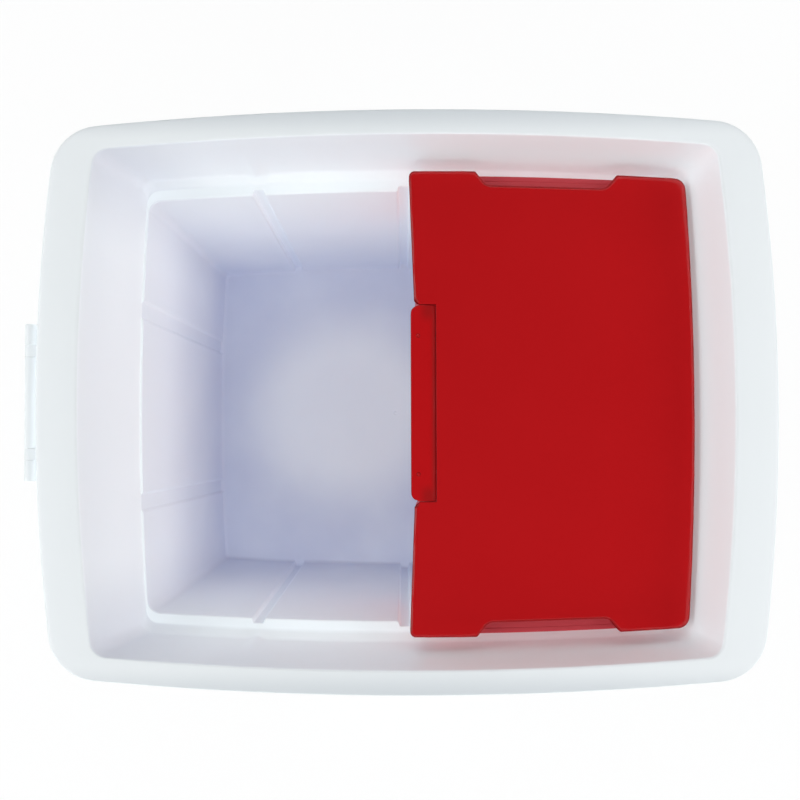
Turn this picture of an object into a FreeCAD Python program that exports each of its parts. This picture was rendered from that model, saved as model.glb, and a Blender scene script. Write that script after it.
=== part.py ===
import FreeCAD
import Part
import math
import os

import Sketcher

# An art supply box: a moulded tub with a lidded half tray on its ledge and a swing latch on one end.
# Millimetres, +Z up. The origin is the middle of the tub's base. The tray lies on the +X side and the
# latch hangs outside the -X end.

SIZES = {
    # tub, from the inside of the lower walls outwards
    "well_length": 303.0,
    "well_width": 247.0,
    "wall_draft": 4.6,
    "wall_thickness": 2.4,
    "floor_thickness": 3.0,
    "ledge_end_width": 2.0,
    "ledge_side_width": 6.5,
    "band_end_run": 1.5,
    "band_side_run": 4.5,
    "band_rise": 4.0,
    "collar_end_flare": 13.0,
    "collar_side_flare": 2.5,
    "rim_end_width": 22.0,
    "rim_side_width": 13.0,
    "tub_height": 220.0,
    "ledge_depth": 49.0,
    # bowed sides and ends, and the corners between them
    "rim_end_radius": 1000.0,
    "rim_side_radius": 1750.0,
    "wall_end_radius": 1800.0,
    "wall_side_radius": 2150.0,
    "floor_corner": 5.0,
    "well_corner": 8.0,
    "collar_corner": 7.0,
    "mouth_corner": 9.0,
    "rim_corner": 26.0,
    # rolled rim
    "rim_skirt": 16.0,
    "rim_wall": 2.6,
    "rim_thickness": 3.2,
    "rim_roll": 2.0,
    # flutes in the lower walls
    "flute_width": 6.5,
    "flute_depth": 3.0,
    "side_flute_pitch": 84.0,
    "end_flute_pitch": 111.0,
    # end latch
    "latch_length": 82.0,
    "latch_reach": 6.0,
    "latch_drop": 9.0,
    "latch_barrel": 7.2,
    "latch_plate": 2.4,
    "latch_height": 40.0,
    "latch_lip": 4.6,
    "latch_pin": 3.0,
    "lug_width": 6.0,
    "lug_pitch": 54.0,
    "hinge_clearance": 0.4,
    "pin_clearance": 0.1,
    # tray and its lid
    "lid_length": 152.5,
    "lid_rise": 24.0,
    "lid_side_clearance": 7.5,
    "lid_end_clearance": 2.3,
    "lid_plate": 1.8,
    "lid_skirt": 1.8,
    "lid_edge": 2.4,
    "lid_rear_corner": 6.5,
    "lid_front_corner": 3.0,
    "lid_gap": 0.3,
    "flange_drop": 8.2,
    "flange_thickness": 2.0,
    "flange_overhang": 1.0,
    "tray_depth": 60.0,
    "tray_wall": 2.0,
    "tray_floor": 2.2,
    "tray_rear_corner": 8.0,
    "seat_gap": 0.2,
    "basin_side_clearance": 1.5,
    "basin_end_clearance": 8.0,
    "divider_thickness": 1.8,
    "divider_drop": 14.0,
    # finger notches in the lid's long sides
    "notch_length": 77.0,
    "notch_floor": 66.0,
    "notch_depth": 7.3,
    "notch_place": 73.0,
    "shelf_reach": 4.0,
    # lid hinge
    "hinge_pitch": 160.0,
    "hinge_setback": 9.5,
    "hinge_rise": 3.2,
    "swing_clearance": 0.8,
    "lid_pin": 2.4,
    "knuckle": 5.6,
    "knuckle_width": 5.0,
    # snap tab at the lid's free edge
    "tab_length": 107.0,
    "tab_crease": 12.6,
    "tab_lip_gap": 0.4,
    "tab_lip": 1.4,
    "tab_recess": 1.6,
    "tab_plate": 1.6,
    "tab_drop": 8.0,
    "vee_width": 3.0,
    "vee_depth": 4.5,
}


class Size:
    """A length that keeps its number together with the sheet expression it comes from."""

    def __init__(self, number, text):
        self.number = number
        self.text = text

    def __add__(self, other):
        other = as_size(other)
        return Size(self.number + other.number, f"({self.text} + {other.text})")

    def __sub__(self, other):
        other = as_size(other)
        return Size(self.number - other.number, f"({self.text} - {other.text})")

    def __mul__(self, other):
        other = as_size(other)
        return Size(self.number * other.number, f"({self.text} * {other.text})")

    def __truediv__(self, other):
        other = as_size(other)
        return Size(self.number / other.number, f"({self.text} / {other.text})")

    def __neg__(self):
        return Size(-self.number, f"(0 - {self.text})")


def as_size(value):
    """A plain number as a Size, and a Size as it is."""
    return value if isinstance(value, Size) else Size(value, str(value))


def size(alias):
    """The driving dimension of that name."""
    return Size(SIZES[alias], f"Sizes.{alias}")


def bind(thing, name, value):
    """Drive one property of an object by a Size."""
    thing.setExpression(name, as_size(value).text)


def fill_sheet(document):
    """Write the driving dimensions into the sheet, one row each."""
    sheet = document.addObject("Spreadsheet::Sheet", "Sizes")
    for row, (alias, number) in enumerate(SIZES.items(), start=1):
        sheet.set(f"A{row}", alias)
        sheet.set(f"B{row}", str(number))
        sheet.setAlias(f"B{row}", alias)
    document.recompute()


doc = FreeCAD.newDocument("art_supply_box")
fill_sheet(doc)
UP = FreeCAD.Vector(0, 0, 1)
ALONG_Y = FreeCAD.Rotation(FreeCAD.Vector(1, 0, 0), -90)


class Outline:
    """A four-sided outline with bowed sides and ends, centred on the origin.

    With front set, a straight edge at that x takes the place of the -X end.
    """

    def __init__(self, half_length, half_width, end_radius, side_radius, corner, front=None, front_corner=None):
        self.half_length = half_length
        self.half_width = half_width
        self.end_radius = end_radius
        self.side_radius = side_radius
        self.corner = corner
        self.front = front
        self.front_corner = front_corner

    def grown(self, by_length, by_width):
        """The same outline, larger by so much at each end and on each side."""
        front = None if self.front is None else self.front - by_length
        front_corner = None if self.front is None else self.front_corner + by_width
        return Outline(self.half_length + by_length, self.half_width + by_width, self.end_radius,
                       self.side_radius, self.corner + by_width, front, front_corner)


def meeting_point(centre_a, reach_a, centre_b, reach_b):
    """Where two circles cross, on the side of the first quadrant."""
    apart = centre_b - centre_a
    along = (reach_a ** 2 - reach_b ** 2 + apart.Length ** 2) / (2 * apart.Length)
    across = math.sqrt(reach_a ** 2 - along ** 2)
    ahead = FreeCAD.Vector(apart).normalize()
    sideways = FreeCAD.Vector(-ahead.y, ahead.x, 0)
    crossings = [centre_a + ahead * along + sideways * across, centre_a + ahead * along - sideways * across]
    return max(crossings, key=lambda point: point.x + point.y)


def arc(centre, start, end):
    """The counterclockwise arc about centre from start to end."""
    circle = Part.Circle(centre, UP, (start - centre).Length)
    turn = [math.atan2(point.y - centre.y, point.x - centre.x) for point in (start, end)]
    if turn[1] < turn[0]:
        turn[1] += 2 * math.pi
    return Part.ArcOfCircle(circle, turn[0], turn[1])


def mirrored(point, flip_x, flip_y):
    """The point reflected across the axes that are asked for."""
    return FreeCAD.Vector(-point.x if flip_x else point.x, -point.y if flip_y else point.y, 0)


def outline_curves(shape):
    """The eight curves of an outline, counterclockwise from its +X end."""
    end_centre = FreeCAD.Vector(shape.half_length.number - shape.end_radius.number, 0, 0)
    side_centre = FreeCAD.Vector(0, shape.half_width.number - shape.side_radius.number, 0)
    corner = shape.corner.number
    inner = meeting_point(end_centre, shape.end_radius.number - corner,
                          side_centre, shape.side_radius.number - corner)
    on_end = inner + (inner - end_centre).normalize() * corner
    on_side = inner + (inner - side_centre).normalize() * corner
    if shape.front is None:
        front_inner = mirrored(inner, True, False)
        front_side = mirrored(on_side, True, False)
        front_end = mirrored(on_end, True, False)
        front_edge = arc(mirrored(end_centre, True, False), front_end, mirrored(front_end, False, True))
    else:
        radius = shape.front_corner.number
        x = shape.front.number + radius
        reach = shape.side_radius.number - radius
        front_inner = FreeCAD.Vector(x, side_centre.y + math.sqrt(reach ** 2 - x ** 2), 0)
        front_side = front_inner + (front_inner - side_centre).normalize() * radius
        front_end = front_inner - FreeCAD.Vector(radius, 0, 0)
        front_edge = Part.LineSegment(front_end, mirrored(front_end, False, True))
    lower = {"flip_x": False, "flip_y": True}
    return [
        arc(end_centre, mirrored(on_end, **lower), on_end),
        arc(inner, on_end, on_side),
        arc(side_centre, on_side, front_side),
        arc(front_inner, front_side, front_end),
        front_edge,
        arc(mirrored(front_inner, **lower), mirrored(front_end, **lower), mirrored(front_side, **lower)),
        arc(mirrored(side_centre, **lower), mirrored(front_side, **lower), mirrored(on_side, **lower)),
        arc(mirrored(inner, **lower), mirrored(on_side, **lower), mirrored(on_end, **lower)),
    ]


def new_sketch(body, name, level, role="XY_Plane"):
    """An empty sketch on one of the body's own planes, moved along that plane's normal to a level."""
    sketch = body.newObject("Sketcher::SketchObject", name)
    plane = next(feature for feature in body.Origin.OriginFeatures if feature.Role == role)
    sketch.AttachmentSupport = (plane, [""])
    sketch.MapMode = "FlatFace"
    bind(sketch, "AttachmentOffset.Base.z", level)
    return sketch


def pin_size(sketch, kind, *place, value):
    """Add one dimension to a sketch and drive it by a Size."""
    index = sketch.addConstraint(Sketcher.Constraint(kind, *place, value.number))
    sketch.setExpression(f"Constraints[{index}]", value.text)


def pin_offset(sketch, kind, curve, point, value):
    """Hold a point at a signed distance from the origin along one axis of the sketch."""
    if value.number >= 0:
        pin_size(sketch, kind, -1, 1, curve, point, value=value)
    else:
        pin_size(sketch, kind, curve, point, -1, 1, value=-value)


def outline_sketch(body, name, level, shape):
    """A fully constrained sketch of an outline."""
    sketch = new_sketch(body, name, level)
    sketch.addGeometry(outline_curves(shape))
    for curve in range(8):
        sketch.addConstraint(Sketcher.Constraint("Tangent", curve, 2, (curve + 1) % 8, 1))
    straight_front = shape.front is not None
    front_corner = shape.front_corner if straight_front else shape.corner
    for curve, radius in ((1, shape.corner), (3, front_corner), (5, front_corner), (7, shape.corner)):
        pin_size(sketch, "Radius", curve, value=radius)
    for curve, toward in ((2, 1), (6, -1)):
        pin_size(sketch, "Radius", curve, value=shape.side_radius)
        sketch.addConstraint(Sketcher.Constraint("PointOnObject", curve, 3, -2))
        pin_offset(sketch, "DistanceY", curve, 3, (shape.half_width - shape.side_radius) * toward)
    for curve, toward in ((0, 1), (4, -1)):
        if curve == 4 and straight_front:
            sketch.addConstraint(Sketcher.Constraint("Vertical", curve))
            pin_offset(sketch, "DistanceX", curve, 1, shape.front)
        else:
            pin_size(sketch, "Radius", curve, value=shape.end_radius)
            sketch.addConstraint(Sketcher.Constraint("PointOnObject", curve, 3, -1))
            pin_offset(sketch, "DistanceX", curve, 3, (shape.half_length - shape.end_radius) * toward)
    return sketch


def polygon_sketch(body, name, level, points, role="XY_Plane"):
    """A closed sketch of straight lines whose corners are all held by Sizes."""
    sketch = new_sketch(body, name, level, role)
    corners = [(as_size(across), as_size(up)) for across, up in points]
    spots = [FreeCAD.Vector(across.number, up.number, 0) for across, up in corners]
    count = len(spots)
    sketch.addGeometry([Part.LineSegment(spots[i], spots[(i + 1) % count]) for i in range(count)])
    for line in range(count):
        sketch.addConstraint(Sketcher.Constraint("Coincident", line, 2, (line + 1) % count, 1))
    for line, (across, up) in enumerate(corners):
        pin_offset(sketch, "DistanceX", line, 1, across)
        pin_offset(sketch, "DistanceY", line, 1, up)
    return sketch


def add_feature(body, kind, name, sketch):
    """A feature of the body that works on one sketch."""
    feature = body.newObject(f"PartDesign::{kind}", name)
    feature.Profile = sketch
    return feature


def pad(body, name, sketch, length, midplane=False):
    """Raise a sketch into a solid, up from its plane or to both sides of it."""
    feature = add_feature(body, "Pad", name, sketch)
    bind(feature, "Length", length)
    feature.SideType = "Symmetric" if midplane else "One side"
    return feature


def pocket(body, name, sketch, length, upward):
    """Cut a sketch out of the body, up or down from its plane."""
    feature = add_feature(body, "Pocket", name, sketch)
    bind(feature, "Length", length)
    feature.Reversed = upward
    return feature


def loft(body, kind, name, sketches):
    """A straight-sided loft through sketches at rising levels, added or cut."""
    feature = add_feature(body, kind, name, sketches[0])
    feature.Sections = sketches[1:]
    feature.Ruled = True
    return feature


def round_top(body, feature, name, level, radius):
    """Round the outer edges of a body where it reaches its top level."""
    doc.recompute()
    edges = [f"Edge{i}" for i, edge in enumerate(feature.Shape.Edges, start=1)
             if all(abs(vertex.Z - level.number) < 1e-6 for vertex in edge.Vertexes)]
    fillet = body.newObject("PartDesign::Fillet", name)
    fillet.Base = (feature, edges)
    bind(fillet, "Radius", radius)
    return fillet


def place(thing, x, y, z):
    """Drive an object's position."""
    for axis, value in (("x", x), ("y", y), ("z", z)):
        bind(thing, f"Placement.Base.{axis}", value)


def block(name, low, high):
    """A box between two corners."""
    box = doc.addObject("Part::Box", name)
    for side, start, end in zip(("Length", "Width", "Height"), low, high):
        bind(box, side, as_size(end) - as_size(start))
    place(box, *low)
    return box


def rod(name, radius, x, start, end, z):
    """A cylinder along Y between two y places."""
    cylinder = doc.addObject("Part::Cylinder", name)
    cylinder.Placement = FreeCAD.Placement(FreeCAD.Vector(), ALONG_Y)
    bind(cylinder, "Radius", radius)
    bind(cylinder, "Height", as_size(end) - as_size(start))
    place(cylinder, x, start, z)
    return cylinder


def fused(name, shapes):
    """Several shapes as one."""
    union = doc.addObject("Part::MultiFuse", name)
    union.Shapes = shapes
    return union


def without(name, base, tools):
    """A shape with others cut away from it."""
    cut = doc.addObject("Part::Cut", name)
    cut.Base = base
    cut.Tool = fused(name + "_cuts", tools) if len(tools) > 1 else tools[0]
    return cut


def overlap(name, base, tools):
    """What a shape shares with any of several others."""
    common = doc.addObject("Part::Common", name)
    common.Base = base
    common.Tool = fused(name + "_rooms", tools)
    return common


def part_between(low, high, share):
    """The size that lies at a share of the way from one size to another."""
    return low + (high - low) * share


def bow(distance, radius):
    """How far an arc of that radius falls back at a distance from its middle."""
    return distance * distance / (radius * 2)


# Levels, upwards from the base
LEDGE_TOP = size("tub_height") - size("ledge_depth")
BAND_TOP = LEDGE_TOP + size("band_rise")
RIM_TOP = size("tub_height")
SKIRT_FOOT = RIM_TOP - size("rim_skirt")
LID_TOP = LEDGE_TOP + size("lid_rise")
FLANGE_TOP = LID_TOP - size("flange_drop")
LID_FOOT = FLANGE_TOP + size("lid_gap")
LID_UNDER = LID_TOP - size("lid_plate")
TRAY_SEAT = LEDGE_TOP + size("seat_gap")
TRAY_BASE = LEDGE_TOP - size("tray_depth")
LID_PIVOT_Z = FLANGE_TOP + size("hinge_rise")

# Outlines of the tub's inside, from the floor up to the rim
WELL = Outline(size("well_length") / 2, size("well_width") / 2, size("wall_end_radius"),
               size("wall_side_radius"), size("well_corner"))
FLOOR = Outline(WELL.half_length - size("wall_draft"), WELL.half_width - size("wall_draft"),
                WELL.end_radius, WELL.side_radius, size("floor_corner"))
LEDGE = Outline(WELL.half_length + size("ledge_end_width"), WELL.half_width + size("ledge_side_width"),
                WELL.end_radius, WELL.side_radius, size("collar_corner"))
COLLAR = Outline(LEDGE.half_length + size("band_end_run"), LEDGE.half_width + size("band_side_run"),
                 WELL.end_radius, WELL.side_radius, size("collar_corner"))
MOUTH = Outline(COLLAR.half_length + size("collar_end_flare"), COLLAR.half_width + size("collar_side_flare"),
                size("rim_end_radius"), size("rim_side_radius"), size("mouth_corner"))
RIM = Outline(MOUTH.half_length + size("rim_end_width"), MOUTH.half_width + size("rim_side_width"),
              MOUTH.end_radius, MOUTH.side_radius, size("rim_corner"))

# The latch turns about a line along Y outside the rim's -X end
LATCH_X = -(RIM.half_length + size("latch_reach"))
LATCH_Z = RIM_TOP - size("latch_drop")
BARREL_RADIUS = size("latch_barrel") / 2
LUG_MIDDLE = size("lug_pitch") / 2
LUG_HALF = size("lug_width") / 2

# The lid turns about a line along Y near its +X edge, clear of the collar that flares past it
PIVOT_SHARE = (LID_PIVOT_Z - BAND_TOP) / (RIM_TOP - BAND_TOP)
LID_REAR = part_between(COLLAR.half_length, MOUTH.half_length, PIVOT_SHARE) - size("lid_end_clearance")
LID_FRONT = LID_REAR - size("lid_length")
LID_PIVOT_X = LID_REAR - size("hinge_setback")
LID = Outline(LID_REAR, COLLAR.half_width - size("lid_side_clearance"), WELL.end_radius, WELL.side_radius,
              size("lid_rear_corner"), LID_FRONT, size("lid_front_corner"))
EAR_OUTER = size("hinge_pitch") / 2
EAR_INNER = EAR_OUTER - size("knuckle_width")
LUG_INNER = EAR_OUTER + size("hinge_clearance")
LUG_OUTER = LUG_INNER + size("knuckle_width")
KNUCKLE_RADIUS = size("knuckle") / 2

# The tray stops short of the space that the lid's rear skirt swings through
TRAY_REAR = LID_PIVOT_X - (LID_PIVOT_Z - LID_FOOT) - size("swing_clearance")
FLANGE = Outline(TRAY_REAR, LID.half_width, LID.end_radius, LID.side_radius, size("tray_rear_corner"),
                 LID_FRONT, size("lid_front_corner"))
TRAY_FRONT = LID_FRONT + size("flange_overhang")
TRAY = Outline(TRAY_REAR - size("flange_overhang"), LID.half_width - size("flange_overhang"), LID.end_radius,
               LID.side_radius, size("tray_rear_corner"), TRAY_FRONT, size("lid_front_corner"))
BASIN_SHARE = (TRAY_BASE - size("floor_thickness")) / (LEDGE_TOP - size("floor_thickness"))
BASIN = Outline(
    part_between(FLOOR.half_length, WELL.half_length, BASIN_SHARE) - size("basin_end_clearance"),
    part_between(FLOOR.half_width, WELL.half_width, BASIN_SHARE) - size("basin_side_clearance"),
    LID.end_radius, LID.side_radius, size("tray_rear_corner"), TRAY_FRONT, size("lid_front_corner"))

# The snap tab bends about a line along Y on the lid, its face sunk below the lid's and its lip outside the
# tray's flange
TAB_CREASE_X = LID_FRONT + size("tab_crease")
TAB_BACK = LID_FRONT - size("tab_lip_gap")
TAB_FACE = TAB_BACK - size("tab_lip")
TAB_TOP = LID_TOP - size("tab_recess")
TAB_UNDER = TAB_TOP - size("tab_plate")
TAB_HALF = size("tab_length") / 2


def flute(name, along_x, position, half_span, radius, turn, grooves):
    """One upright channel in a lower wall, or the rib that carries it on the outside.

    The wall stands half_span out from the origin and bows back with its radius; turn is the heading of
    its outward normal, measured from -Y.
    """
    floor_span, ledge_span = half_span
    fall = bow(as_size(position), radius)
    wall = size("wall_thickness")
    inset = wall * (-1 if grooves else 0.5)
    reach = size("flute_depth") + (0 if grooves else wall)
    half_width = size("flute_width") / 2 + (0 if grooves else wall)
    wedge = doc.addObject("Part::Wedge", name)
    bind(wedge, "Ymin", size("floor_thickness") if grooves else 0)
    bind(wedge, "Ymax", LEDGE_TOP if grooves else LEDGE_TOP - wall / 2)
    for low, high in (("Xmin", "Xmax"), ("X2min", "X2max")):
        bind(wedge, low, -half_width)
        bind(wedge, high, half_width)
    for low, high, span in (("Zmin", "Zmax", floor_span), ("Z2min", "Z2max", ledge_span)):
        bind(wedge, low, span - fall + inset)
        bind(wedge, high, span - fall + reach)
    upright = FreeCAD.Rotation(FreeCAD.Vector(1, 0, 0), 90)
    wedge.Placement = FreeCAD.Placement(FreeCAD.Vector(), FreeCAD.Rotation(UP, turn) * upright)
    place(wedge, position if along_x else 0, 0 if along_x else position, 0)
    return wedge


def flutes(prefix, grooves):
    """The channels of all four lower walls: three on each side and two on each end."""
    side_places = [-size("side_flute_pitch"), as_size(0), size("side_flute_pitch")]
    end_places = [-(size("end_flute_pitch") / 2), size("end_flute_pitch") / 2]
    shapes = []
    for turn in (0, 180):
        for i, position in enumerate(side_places):
            shapes.append(flute(f"{prefix}_side_{turn}_{i}", True, position, (FLOOR.half_width, WELL.half_width),
                                WELL.side_radius, turn, grooves))
    for turn in (90, 270):
        for i, position in enumerate(end_places):
            shapes.append(flute(f"{prefix}_end_{turn}_{i}", False, position, (FLOOR.half_length, WELL.half_length),
                                WELL.end_radius, turn, grooves))
    return shapes


def latch_lugs():
    """The two lugs on the rim's skirt that hold the latch's pin."""
    shapes = []
    for side in (-1, 1):
        start = LUG_MIDDLE * side - LUG_HALF
        end = LUG_MIDDLE * side + LUG_HALF
        shapes.append(rod(f"lug_eye_{side}", BARREL_RADIUS, LATCH_X, start, end, LATCH_Z))
        shapes.append(block(f"lug_arm_{side}", (LATCH_X, start, LATCH_Z - BARREL_RADIUS),
                            (-(RIM.half_length - size("rim_wall")), end, LATCH_Z + BARREL_RADIUS)))
    return shapes


def make_tub():
    """The moulded tub: rolled rim, flared collar, ledge, fluted lower walls and floor."""
    body = doc.addObject("PartDesign::Body", "tub_shell")
    wall = size("wall_thickness")
    under_ledge = LEDGE_TOP - wall
    rim = pad(body, "rim_block", outline_sketch(body, "rim_outline", SKIRT_FOOT, RIM), size("rim_skirt"))
    round_top(body, rim, "rim_rolled", RIM_TOP, size("rim_roll"))
    hollow = outline_sketch(body, "rim_hollow_outline", SKIRT_FOOT, RIM.grown(-size("rim_wall"), -size("rim_wall")))
    pocket(body, "rim_hollow", hollow, size("rim_skirt") - size("rim_thickness"), upward=True)
    loft(body, "AdditiveLoft", "collar_outside", [
        outline_sketch(body, "collar_outer_foot", under_ledge, COLLAR.grown(wall, wall)),
        outline_sketch(body, "collar_outer_top", RIM_TOP - size("rim_thickness") / 2, MOUTH.grown(wall, wall))])
    loft(body, "AdditiveLoft", "well_outside", [
        outline_sketch(body, "base_outline", 0, FLOOR.grown(wall, wall)),
        outline_sketch(body, "well_outer_top", LEDGE_TOP - wall / 2, WELL.grown(wall, wall))])
    loft(body, "SubtractiveLoft", "collar_inside", [
        outline_sketch(body, "ledge_outline", LEDGE_TOP, LEDGE),
        outline_sketch(body, "collar_foot", BAND_TOP, COLLAR),
        outline_sketch(body, "mouth_outline", RIM_TOP, MOUTH)])
    loft(body, "SubtractiveLoft", "well_inside", [
        outline_sketch(body, "floor_outline", size("floor_thickness"), FLOOR),
        outline_sketch(body, "well_outline", LEDGE_TOP, WELL)])
    whole = fused("tub_whole", [body] + flutes("rib", grooves=False) + latch_lugs())
    pin_hole = rod("lug_bore", size("latch_pin") / 2 + size("pin_clearance"), LATCH_X,
                   -size("latch_length") / 2, size("latch_length") / 2, LATCH_Z)
    return without("tub", whole, flutes("groove", grooves=True) + [pin_hole])


def make_end_latch():
    """The swing latch: a barrel round the pin, a plate that hangs from it and a lip along the plate's foot."""
    body = doc.addObject("PartDesign::Body", "latch_plate_body")
    half = size("latch_length") / 2
    face = LATCH_X - BARREL_RADIUS
    back = face + size("latch_plate")
    foot = LATCH_Z - size("latch_height")
    lip_top = foot + size("latch_plate")
    profile = polygon_sketch(body, "latch_profile", 0, [
        (back, LATCH_Z), (back, foot), (face - size("latch_lip"), foot),
        (face - size("latch_lip"), lip_top), (face, lip_top), (face, LATCH_Z)], "XZ_Plane")
    pad(body, "latch_plate_pad", profile, size("latch_length"), midplane=True)
    barrel = rod("latch_barrel_rod", BARREL_RADIUS, LATCH_X, -half, half, LATCH_Z)
    gap = size("hinge_clearance")
    cuts = [rod("latch_bore", size("latch_pin") / 2 + size("pin_clearance"), LATCH_X, -half, half, LATCH_Z)]
    for side in (-1, 1):
        room = BARREL_RADIUS + gap
        low = (LATCH_X - room, LUG_MIDDLE * side - LUG_HALF - gap, LATCH_Z - room)
        high = (LATCH_X + room, LUG_MIDDLE * side + LUG_HALF + gap, LATCH_Z + room)
        cuts.append(block(f"latch_slot_{side}", low, high))
    return without("end_latch", fused("latch_whole", [body, barrel]), cuts)


def make_latch_pin():
    """The pin through the latch's barrel and the tub's lugs."""
    half = size("latch_length") / 2 - size("latch_plate") / 2
    return rod("latch_pin", size("latch_pin") / 2, LATCH_X, -half, half, LATCH_Z)


def both_sides(inner, outer):
    """The y places of a piece on the -Y side and of its twin on the +Y side."""
    return {-1: (-outer, -inner), 1: (inner, outer)}


def make_lid_pin(name, side):
    """One of the two pins at the lid's rear edge."""
    start, end = both_sides(EAR_INNER, LUG_OUTER)[side]
    return rod(name, size("lid_pin") / 2, LID_PIVOT_X, start, end, LID_PIVOT_Z)


def lid_pin_bores(prefix):
    """Room for both lid pins."""
    radius = size("lid_pin") / 2 + size("pin_clearance")
    return [rod(f"{prefix}_{side}", radius, LID_PIVOT_X, start, end, LID_PIVOT_Z)
            for side, (start, end) in both_sides(EAR_INNER, LUG_OUTER).items()]


def tray_dividers():
    """Two low walls that part the basin into three."""
    wall = size("tray_wall")
    half = size("divider_thickness") / 2
    shapes = []
    for side in (-1, 1):
        middle = BASIN.half_width * side / 3
        low = (TRAY_FRONT + wall / 2, middle - half, TRAY_BASE)
        high = (BASIN.half_length - wall / 2, middle + half, FLANGE_TOP - size("divider_drop"))
        shapes.append(block(f"divider_{side}", low, high))
    return shapes


def tray_ears():
    """The two ears behind the tray's rear wall that hold the lid's pins."""
    root = TRAY_REAR - bow(EAR_OUTER, TRAY.end_radius) - size("tray_wall")
    shapes = []
    for side, (start, end) in both_sides(EAR_INNER, EAR_OUTER).items():
        shapes.append(rod(f"ear_eye_{side}", KNUCKLE_RADIUS, LID_PIVOT_X, start, end, LID_PIVOT_Z))
        shapes.append(block(f"ear_neck_{side}", (root, start, LID_PIVOT_Z - KNUCKLE_RADIUS),
                            (LID_PIVOT_X, end, LID_PIVOT_Z + KNUCKLE_RADIUS)))
        shapes.append(block(f"ear_post_{side}", (root, start, FLANGE_TOP - size("flange_thickness")),
                            (root + size("tray_wall"), end, LID_PIVOT_Z)))
    return shapes


def trapezoid(name, turn, middle, near, far, low, high):
    """An upright prism, a trapezoid in plan, between two levels.

    near and far are (distance, half width) along +Y, which turn then swings about Z at middle.
    """
    wedge = doc.addObject("Part::Wedge", name)
    for prefix, (distance, half_width) in (("", near), ("2", far)):
        bind(wedge, f"X{prefix}min", -half_width)
        bind(wedge, f"X{prefix}max", half_width)
        bind(wedge, f"Z{prefix}min", low)
        bind(wedge, f"Z{prefix}max", high)
        bind(wedge, "Ymax" if prefix else "Ymin", distance)
    wedge.Placement = FreeCAD.Placement(FreeCAD.Vector(), FreeCAD.Rotation(UP, turn))
    place(wedge, middle, 0, 0)
    return wedge


def finger_notch(name, turn, spread, low, high):
    """The space of one finger notch between two levels, grown by spread on every side."""
    middle = LID_FRONT + size("notch_place")
    floor = LID.half_width - bow(middle, LID.side_radius) - size("notch_depth") - spread
    brim = LID.half_width + size("notch_depth")
    slant = (size("notch_length") - size("notch_floor")) / 2 / size("notch_depth")
    half_floor = size("notch_floor") / 2 + spread
    half_brim = half_floor + (brim - floor) * slant
    return trapezoid(name, turn, middle, (floor, half_floor), (brim, half_brim), low, high)


def tray_shelves():
    """The flange widens under the lid's finger notches, so that the tray stays closed there."""
    body = doc.addObject("PartDesign::Body", "flange_limits")
    foot = FLANGE_TOP - size("flange_thickness")
    edge = outline_sketch(body, "flange_limits_outline", foot, FLANGE)
    pad(body, "flange_limits_pad", edge, size("flange_thickness"))
    rooms = [finger_notch(f"shelf_room_{turn}", turn, size("shelf_reach"), foot, FLANGE_TOP)
             for turn in (0, 180)]
    return overlap("tray_shelves", body, rooms)


def make_tray_base():
    """The tray: a flange under the lid, a shoulder that sits on the tub's ledge and a basin below it."""
    body = doc.addObject("PartDesign::Body", "tray_shell")
    wall = size("tray_wall")
    flange_foot = FLANGE_TOP - size("flange_thickness")
    floor_top = TRAY_BASE + size("tray_floor")
    pad(body, "basin_pad", outline_sketch(body, "basin_outline", TRAY_BASE, BASIN), TRAY_SEAT - TRAY_BASE + wall)
    pad(body, "shoulder_pad", outline_sketch(body, "shoulder_outline", TRAY_SEAT, TRAY), FLANGE_TOP - TRAY_SEAT)
    pad(body, "flange_pad", outline_sketch(body, "flange_outline", flange_foot, FLANGE), size("flange_thickness"))
    inside = outline_sketch(body, "shoulder_inside", TRAY_SEAT + wall, TRAY.grown(-wall, -wall))
    pocket(body, "shoulder_hollow", inside, FLANGE_TOP - TRAY_SEAT - wall, upward=True)
    basin_inside = outline_sketch(body, "basin_inside", floor_top, BASIN.grown(-wall, -wall))
    pocket(body, "basin_hollow", basin_inside, FLANGE_TOP - floor_top, upward=True)
    whole = fused("tray_whole", [body, tray_shelves()] + tray_dividers() + tray_ears())
    return without("tray_base", whole, lid_pin_bores("ear_bore"))


def notch_walls():
    """The lid's skirt where it turns in round the two finger notches."""
    body = doc.addObject("PartDesign::Body", "lid_limits")
    height = LID_UNDER - LID_FOOT + size("lid_plate") / 2
    pad(body, "lid_limits_pad", outline_sketch(body, "lid_limits_outline", LID_FOOT, LID), height)
    rooms = [finger_notch(f"notch_room_{turn}", turn, size("lid_skirt"), LID_FOOT, LID_TOP)
             for turn in (0, 180)]
    return overlap("notch_walls", body, rooms)


def lid_lugs():
    """The two lugs under the lid's plate that turn on the pins beside the tray's ears."""
    shapes = []
    for side, (start, end) in both_sides(LUG_INNER, LUG_OUTER).items():
        shapes.append(rod(f"lid_lug_eye_{side}", KNUCKLE_RADIUS, LID_PIVOT_X, start, end, LID_PIVOT_Z))
        shapes.append(block(f"lid_lug_web_{side}", (LID_PIVOT_X - KNUCKLE_RADIUS, start, LID_PIVOT_Z),
                            (LID_PIVOT_X + KNUCKLE_RADIUS, end, LID_UNDER + size("lid_plate") / 2)))
    return shapes


def tab_gap():
    """The gap in the lid that the snap tab fills, with a V notch at each end."""
    clear = size("hinge_clearance")
    half = TAB_HALF + clear
    outside = LID_FRONT - size("vee_depth")
    vee_root = LID_FRONT + size("vee_depth")
    slope = size("vee_width") / size("vee_depth")
    gap = block("tab_gap", (outside, -half, LID_FOOT), (TAB_CREASE_X + clear, half, LID_TOP))
    vees = trapezoid("tab_vees", 90, 0, (-vee_root, half),
                     (-outside, half + slope * (vee_root - outside)), LID_FOOT, LID_TOP)
    return [gap, vees]


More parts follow.
